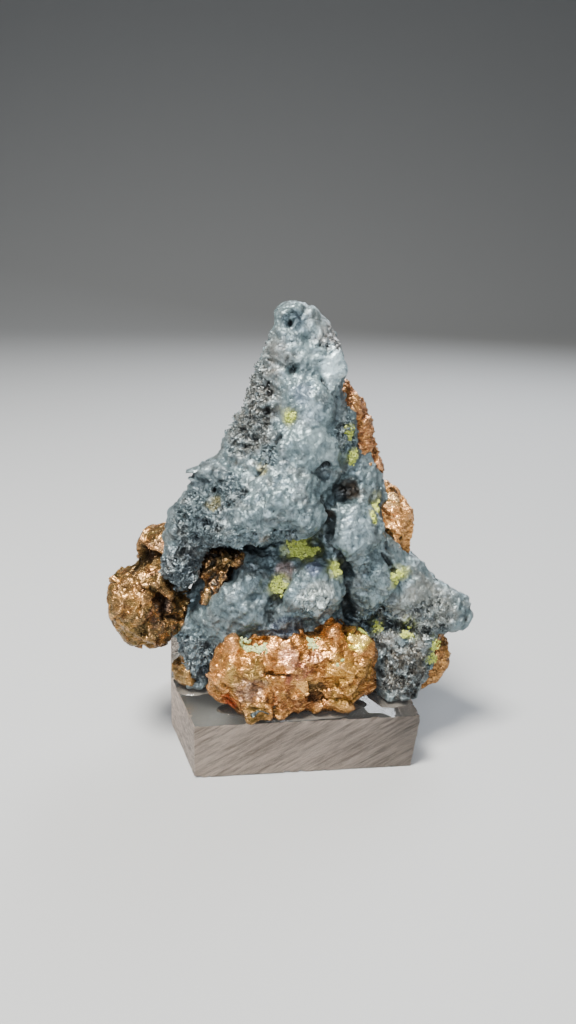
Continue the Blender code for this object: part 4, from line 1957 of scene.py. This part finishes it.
@dataclass(frozen=True)
class Studio:
    """Plain pale floor, soft light and the camera at the photograph's viewing angle.

    The camera was fitted to the block's edges: its place in millimetres, its elevation, heading and
    roll in degrees, and its focal length in pixels of a frame 1024 pixels high.
    """

    camera_at: Triple = (-11.7, -85.8, 53.4)
    elevation: float = 18.0
    heading: float = -7.68
    roll: float = 1.36
    focal_pixels: float = 850.0
    frame_pixels: float = 1024.0
    sensor: float = 36.0
    nearest: float = 5.0
    aim_height: float = 20.0
    floor_half: float = 900.0
    floor_rows: int = 60
    floor_drop: float = 0.02
    floor_curve_start: float = 0.45
    floor_curve: float = 1.6
    floor_tone: str = "#a3a5a6"
    floor_roughness: float = 0.9
    sky_tone: str = "#b4b9be"
    sky_strength: float = 0.26
    lights: Sequence[Softbox] = (
        Softbox("key softbox", (-90.0, -70.0, 280.0), 90.0, 3.0, "#fffaf2"),
        Softbox("front fill", (-60.0, -260.0, 160.0), 160.0, 0.7, "#eef4ff"),
        Softbox("back rim", (120.0, 200.0, 220.0), 160.0, 1.0, "#f4f8ff"),
    )

    def build(self) -> None:
        """Build floor, world, lights and camera."""
        self.build_floor()
        self.build_world()
        for light in self.lights:
            light.build(Vector((0.0, 0.0, self.aim_height)) * MM)
        self.build_camera()

    def build_floor(self) -> None:
        """Build a sheet that lies flat and curves up far behind the specimen."""
        made = bmesh.new()
        half = self.floor_half * MM
        bmesh.ops.create_grid(made, x_segments=1, y_segments=self.floor_rows, size=half)
        for vert in made.verts:
            beyond = max(0.0, vert.co.y - self.floor_curve_start * half)
            vert.co.z = -self.floor_drop * MM + self.floor_curve * beyond * beyond / half
        floor = Shape.from_bmesh("floor", made)
        floor.data.shade_smooth()
        paper, tree, shader = start_material("matt studio paper")
        look = {"Base Color": linear(self.floor_tone), "Roughness": self.floor_roughness}
        fill(tree, shader, look)
        floor.data.materials.append(paper)

    def build_world(self) -> None:
        """Light the scene evenly with pale grey."""
        world = bpy.data.worlds.new("studio")
        world.use_nodes = True
        sky = {"Color": linear(self.sky_tone), "Strength": self.sky_strength}
        fill(world.node_tree, world.node_tree.nodes["Background"], sky)
        bpy.context.scene.world = world

    def build_camera(self) -> None:
        """Place the camera and make it the scene's."""
        data = bpy.data.cameras.new("photo view")
        data.sensor_width = self.sensor
        data.lens = data.sensor_width * self.focal_pixels / self.frame_pixels
        data.clip_start = self.nearest * MM
        camera = bpy.data.objects.new("photo view", data)
        camera.location = Vector(self.camera_at) * MM
        tilt = Matrix.Rotation(math.radians(90.0 - self.elevation), 4, "X")
        turn = Matrix.Rotation(math.radians(self.heading), 4, "Z")
        spin = Matrix.Rotation(math.radians(self.roll), 4, "Z")
        camera.rotation_euler = (turn @ tilt @ spin).to_euler()
        bpy.context.scene.collection.objects.link(camera)
        bpy.context.scene.camera = camera


# The specimen's parts in order

COPPER_MASSES = (
    CopperMass(
        "copper_front",
        COPPER_FRONT,
        "#b4783c",
        (
            # Tones of the front mass: the pale peach tints at the top middle are painted highlights, and
            # the darker tints along the bottom are partly the copper's own brown and olive and partly
            # painted shade
            Tint((-5.4, -9.6, 11.4), 3.4, "#a48648", 0.9),
            Tint((-5.6, -9.0, 13.2), 2.2, "#d69048", 0.85),
            Tint((-4.9, -10.0, 9.6), 2.2, "#9c7c68", 0.85),
            Tint((-6.6, -8.8, 7.8), 1.5, "#c44c26", 0.95),
            Tint((-4.6, -11.0, 7.2), 2.6, "#6a5226", 0.9),
            Tint((-2.0, -10.2, 8.4), 2.2, "#8a5a34", 0.8),
            Tint((0.1, -10.0, 11.4), 2.4, "#a0604a", 0.9),
            Tint((-0.8, -9.6, 12.9), 1.7, "#efae84", 0.85),
            Tint((1.6, -9.8, 13.0), 1.5, "#e6a67c", 0.75),
            Tint((0.9, -10.2, 9.8), 1.8, "#eab466", 0.85),
            Tint((0.4, -9.8, 7.8), 2.4, "#86542c", 0.85),
            Tint((4.4, -10.2, 11.4), 2.8, "#d09c48", 0.9),
            Tint((4.8, -9.8, 8.6), 2.8, "#987030", 0.9),
            # Painted highlight: the bright yellow patch at the right peak
            Tint((6.5, -7.9, 13.9), 2.2, "#fff05c", 1.0),
            Tint((4.0, -7.6, 15.2), 1.7, "#ea8c3a", 0.95),
            Tint((6.8, -8.8, 11.2), 2.3, "#c49648", 0.85),
        ),
        seams=(
            Seam(
                ((-2.4, -10.0, 13.4), (-2.9, -10.4, 11.0), (-2.2, -10.8, 8.6), (-2.6, -10.6, 6.6)),
                0.6,
                0.5,
            ),
            Seam(((2.2, -10.2, 12.8), (3.0, -10.4, 10.8), (2.8, -10.2, 8.8)), 0.5, 0.3),
            Seam(((6.2, -9.4, 12.0), (6.0, -9.6, 11.4)), 0.5, 0.6),
            Seam(((6.8, -8.8, 10.4), (6.9, -8.9, 9.9)), 0.5, 0.6),
        ),
        swells=(
            Swell((-6.6, -7.9, 13.9), 1.3, 1.3),
            Swell((-8.0, -8.0, 11.6), 2.2, 0.5),
            Swell((-8.2, -7.6, 8.6), 2.0, 0.6),
            Swell((-0.6, -10.4, 10.8), 4.4, -0.3),
            Swell((4.0, -8.4, 15.0), 1.4, 0.6),
            Swell((6.8, -8.2, 13.1), 1.5, 0.9),
            Swell((7.6, -7.8, 9.0), 2.2, 0.7),
            Swell((5.6, -9.4, 7.4), 2.0, 0.5),
        ),
        # Zones of painted highlight on the peaks, the largest at the bright yellow right peak
        worn_and_highlit=(
            Zone((6.0, -8.0, 14.1), 1.4),
            Zone((6.7, -7.8, 13.9), 1.9),
            Zone((7.3, -7.6, 13.8), 1.1),
            Zone((4.4, -8.6, 14.6), 0.7),
            Zone((-6.4, -8.4, 13.4), 0.8),
        ),
        fold=0.3,
        wrinkle=0.16,
        ledge=1.3,
        ledge_width=2.8,
    ),
    CopperMass(
        "copper_left",
        COPPER_LEFT,
        "#625030",
        (
            Tint((-17.0, -4.0, 18.0), 3.2, "#8a683e", 0.7),
            Tint((-17.6, -3.4, 13.8), 2.4, "#7c602a", 0.8),
            Tint((-13.6, -4.0, 15.8), 2.4, "#80665a", 0.7),
            Tint((-13.6, -2.6, 21.8), 2.6, "#785c44", 0.6),
            Tint((-15.0, -2.8, 11.8), 2.6, "#5a4022", 0.8),
        ),
        crumple=0.2,
        fold=0.26,
        wrinkle=0.2,
        ledge=2.4,
        ledge_width=3.0,
        grain=(1.0, 1.0, 1.0),
        seed=20.0,
    ),
    CopperMass("copper_right_edge", COPPER_RIGHT_EDGE, "#bd8458", ledge=0.8, seed=40.0),
    CopperMass(
        "copper_right_lump",
        COPPER_RIGHT_LUMP,
        "#ffbc72",
        (Tint((10.6, -3.0, 27.8), 1.8, "#ffd890", 0.8),),
        worn_and_highlit=(Zone((10.4, -3.2, 26.8), 2.6),),
        seed=60.0,
    ),
    CopperMass("copper_lower_right", COPPER_LOWER_RIGHT, "#a07442", seed=80.0),
    CopperMass("copper_nub", COPPER_NUB, "#987a48", crumple=0.3, seed=100.0),
    CopperMass("copper_back", COPPER_BACK, "#b87a46", seed=120.0),
    CopperMass(
        "copper_cave",
        COPPER_CAVE,
        "#3c3830",
        (Tint((-8.9, -3.9, 17.4), 1.6, "#6c5f48", 0.8),),
        apart=True,
        crumple=0.5,
        fold=0.8,
        wrinkle=0.3,
        grain=(1.6, 1.0, 1.0),
        seed=140.0,
    ),
    # Painted highlight: a small pale yellow ledge whose tone stands for the bright glint at the front
    # mass's right peak
    CopperMass(
        "copper_highlit_ledge",
        COPPER_LEDGE,
        "#ffe472",
        worn_and_highlit=(Zone((6.5, -8.3, 13.9), 4.0),),
        apart=True,
        crumple=0.1,
        fold=0.16,
        wrinkle=0.1,
        ledge=0.35,
        ledge_width=1.0,
        seed=160.0,
    ),
)
YELLOW_SPOTS = (
    Zone((0.5, -4.2, 22.9), 1.7),
    Zone((1.7, -4.6, 22.4), 1.2),
    Zone((-1.8, -6.2, 19.4), 1.2),
    Zone((4.0, -6.4, 21.2), 1.0),
    Zone((11.2, -5.8, 20.2), 0.9),
    Zone((10.4, -6.4, 19.8), 0.9),
    Zone((12.2, -6.8, 14.2), 1.1),
    Zone((9.0, -5.0, 13.8), 0.9),
    Zone((7.5, -5.4, 13.6), 0.8),
    Zone((15.2, -5.8, 11.8), 1.1),
    Zone((15.0, -6.3, 10.5), 1.0),
    Zone((8.7, -3.9, 27.2), 1.0),
    Zone((7.8, -6.0, 26.6), 0.8),
    Zone((5.5, -3.6, 34.7), 1.0),
    Zone((6.0, -3.7, 32.3), 0.9),
    Zone((-0.9, -4.8, 36.7), 0.9),
    Zone((2.4, 7.4, 22.0), 1.6),
    Zone((-4.5, 7.8, 14.6), 1.5),
    Zone((8.8, 6.2, 19.0), 1.2),
)
MINT_SPOTS = (
    Zone((-5.9, -7.6, 13.9), 0.9),
    Zone((-4.7, -7.8, 13.4), 1.2),
    Zone((-3.5, -8.4, 13.2), 1.1),
    Zone((1.7, -8.1, 13.6), 0.9),
    Zone((4.2, -9.9, 12.2), 0.6),
)
# The yellow-green crust stains the silver round each of its spots
STAIN_REACH = 1.6
STAIN_TONE = "#a3ab5c"
STAIN_STRENGTH = 0.75
ADHESIVE_SIDES = ("front", "left", "right", "back")


def main() -> None:
    """Build every piece in order."""
    logging.basicConfig(level=logging.INFO, format="%(name)s: %(message)s")
    noise.seed_set(SEED)
    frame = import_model()
    Studio().build()
    metal = Shape.copy_of_node(frame["nodes"]["native_silver"], "metal")
    solid = BVHTree.FromObject(metal, bpy.context.evaluated_depsgraph_get())
    copper = COPPER_FINISH.build()
    masses = [mass.build(metal, solid, copper) for mass in COPPER_MASSES]
    covers = tuple(lump for mass in COPPER_MASSES if not mass.apart for lump in mass.lumps)
    stains = [
        Tint(zone.at, zone.radius * STAIN_REACH, STAIN_TONE, STAIN_STRENGTH)
        for zone in YELLOW_SPOTS
    ]
    mass = SilverMass(covers=covers, stains=stains)
    silver = mass.build(metal, solid, SILVER_FINISH.build())
    Shape.discard(metal)
    flakes = HacklyFlakes().build(silver, mass)
    grounds = [silver, *masses]
    crusts = [
        MineralCrust("crust_yellow_green", YELLOW_SPOTS, YELLOW_GREEN_FINISH).build(grounds),
        MineralCrust("crust_mint", MINT_SPOTS, MINT_FINISH, seed=8).build(grounds),
    ]
    silver_parts = mass.finish_parts(silver)
    block = AcrylicBlock().build()
    resin = SetAdhesive().build()
    beads = [
        Adhesive("adhesive_bead_" + side, "adhesive_" + side, seed=index * 10.0).build(resin)
        for index, side in enumerate(ADHESIVE_SIDES)
    ]
    for piece in [*silver_parts, flakes, *masses, *crusts, block, *beads]:
        piece.data.calc_loop_triangles()
        LOG.info("%s: %d triangles", piece.name, len(piece.data.loop_triangles))


if __name__ == "__main__":
    main()
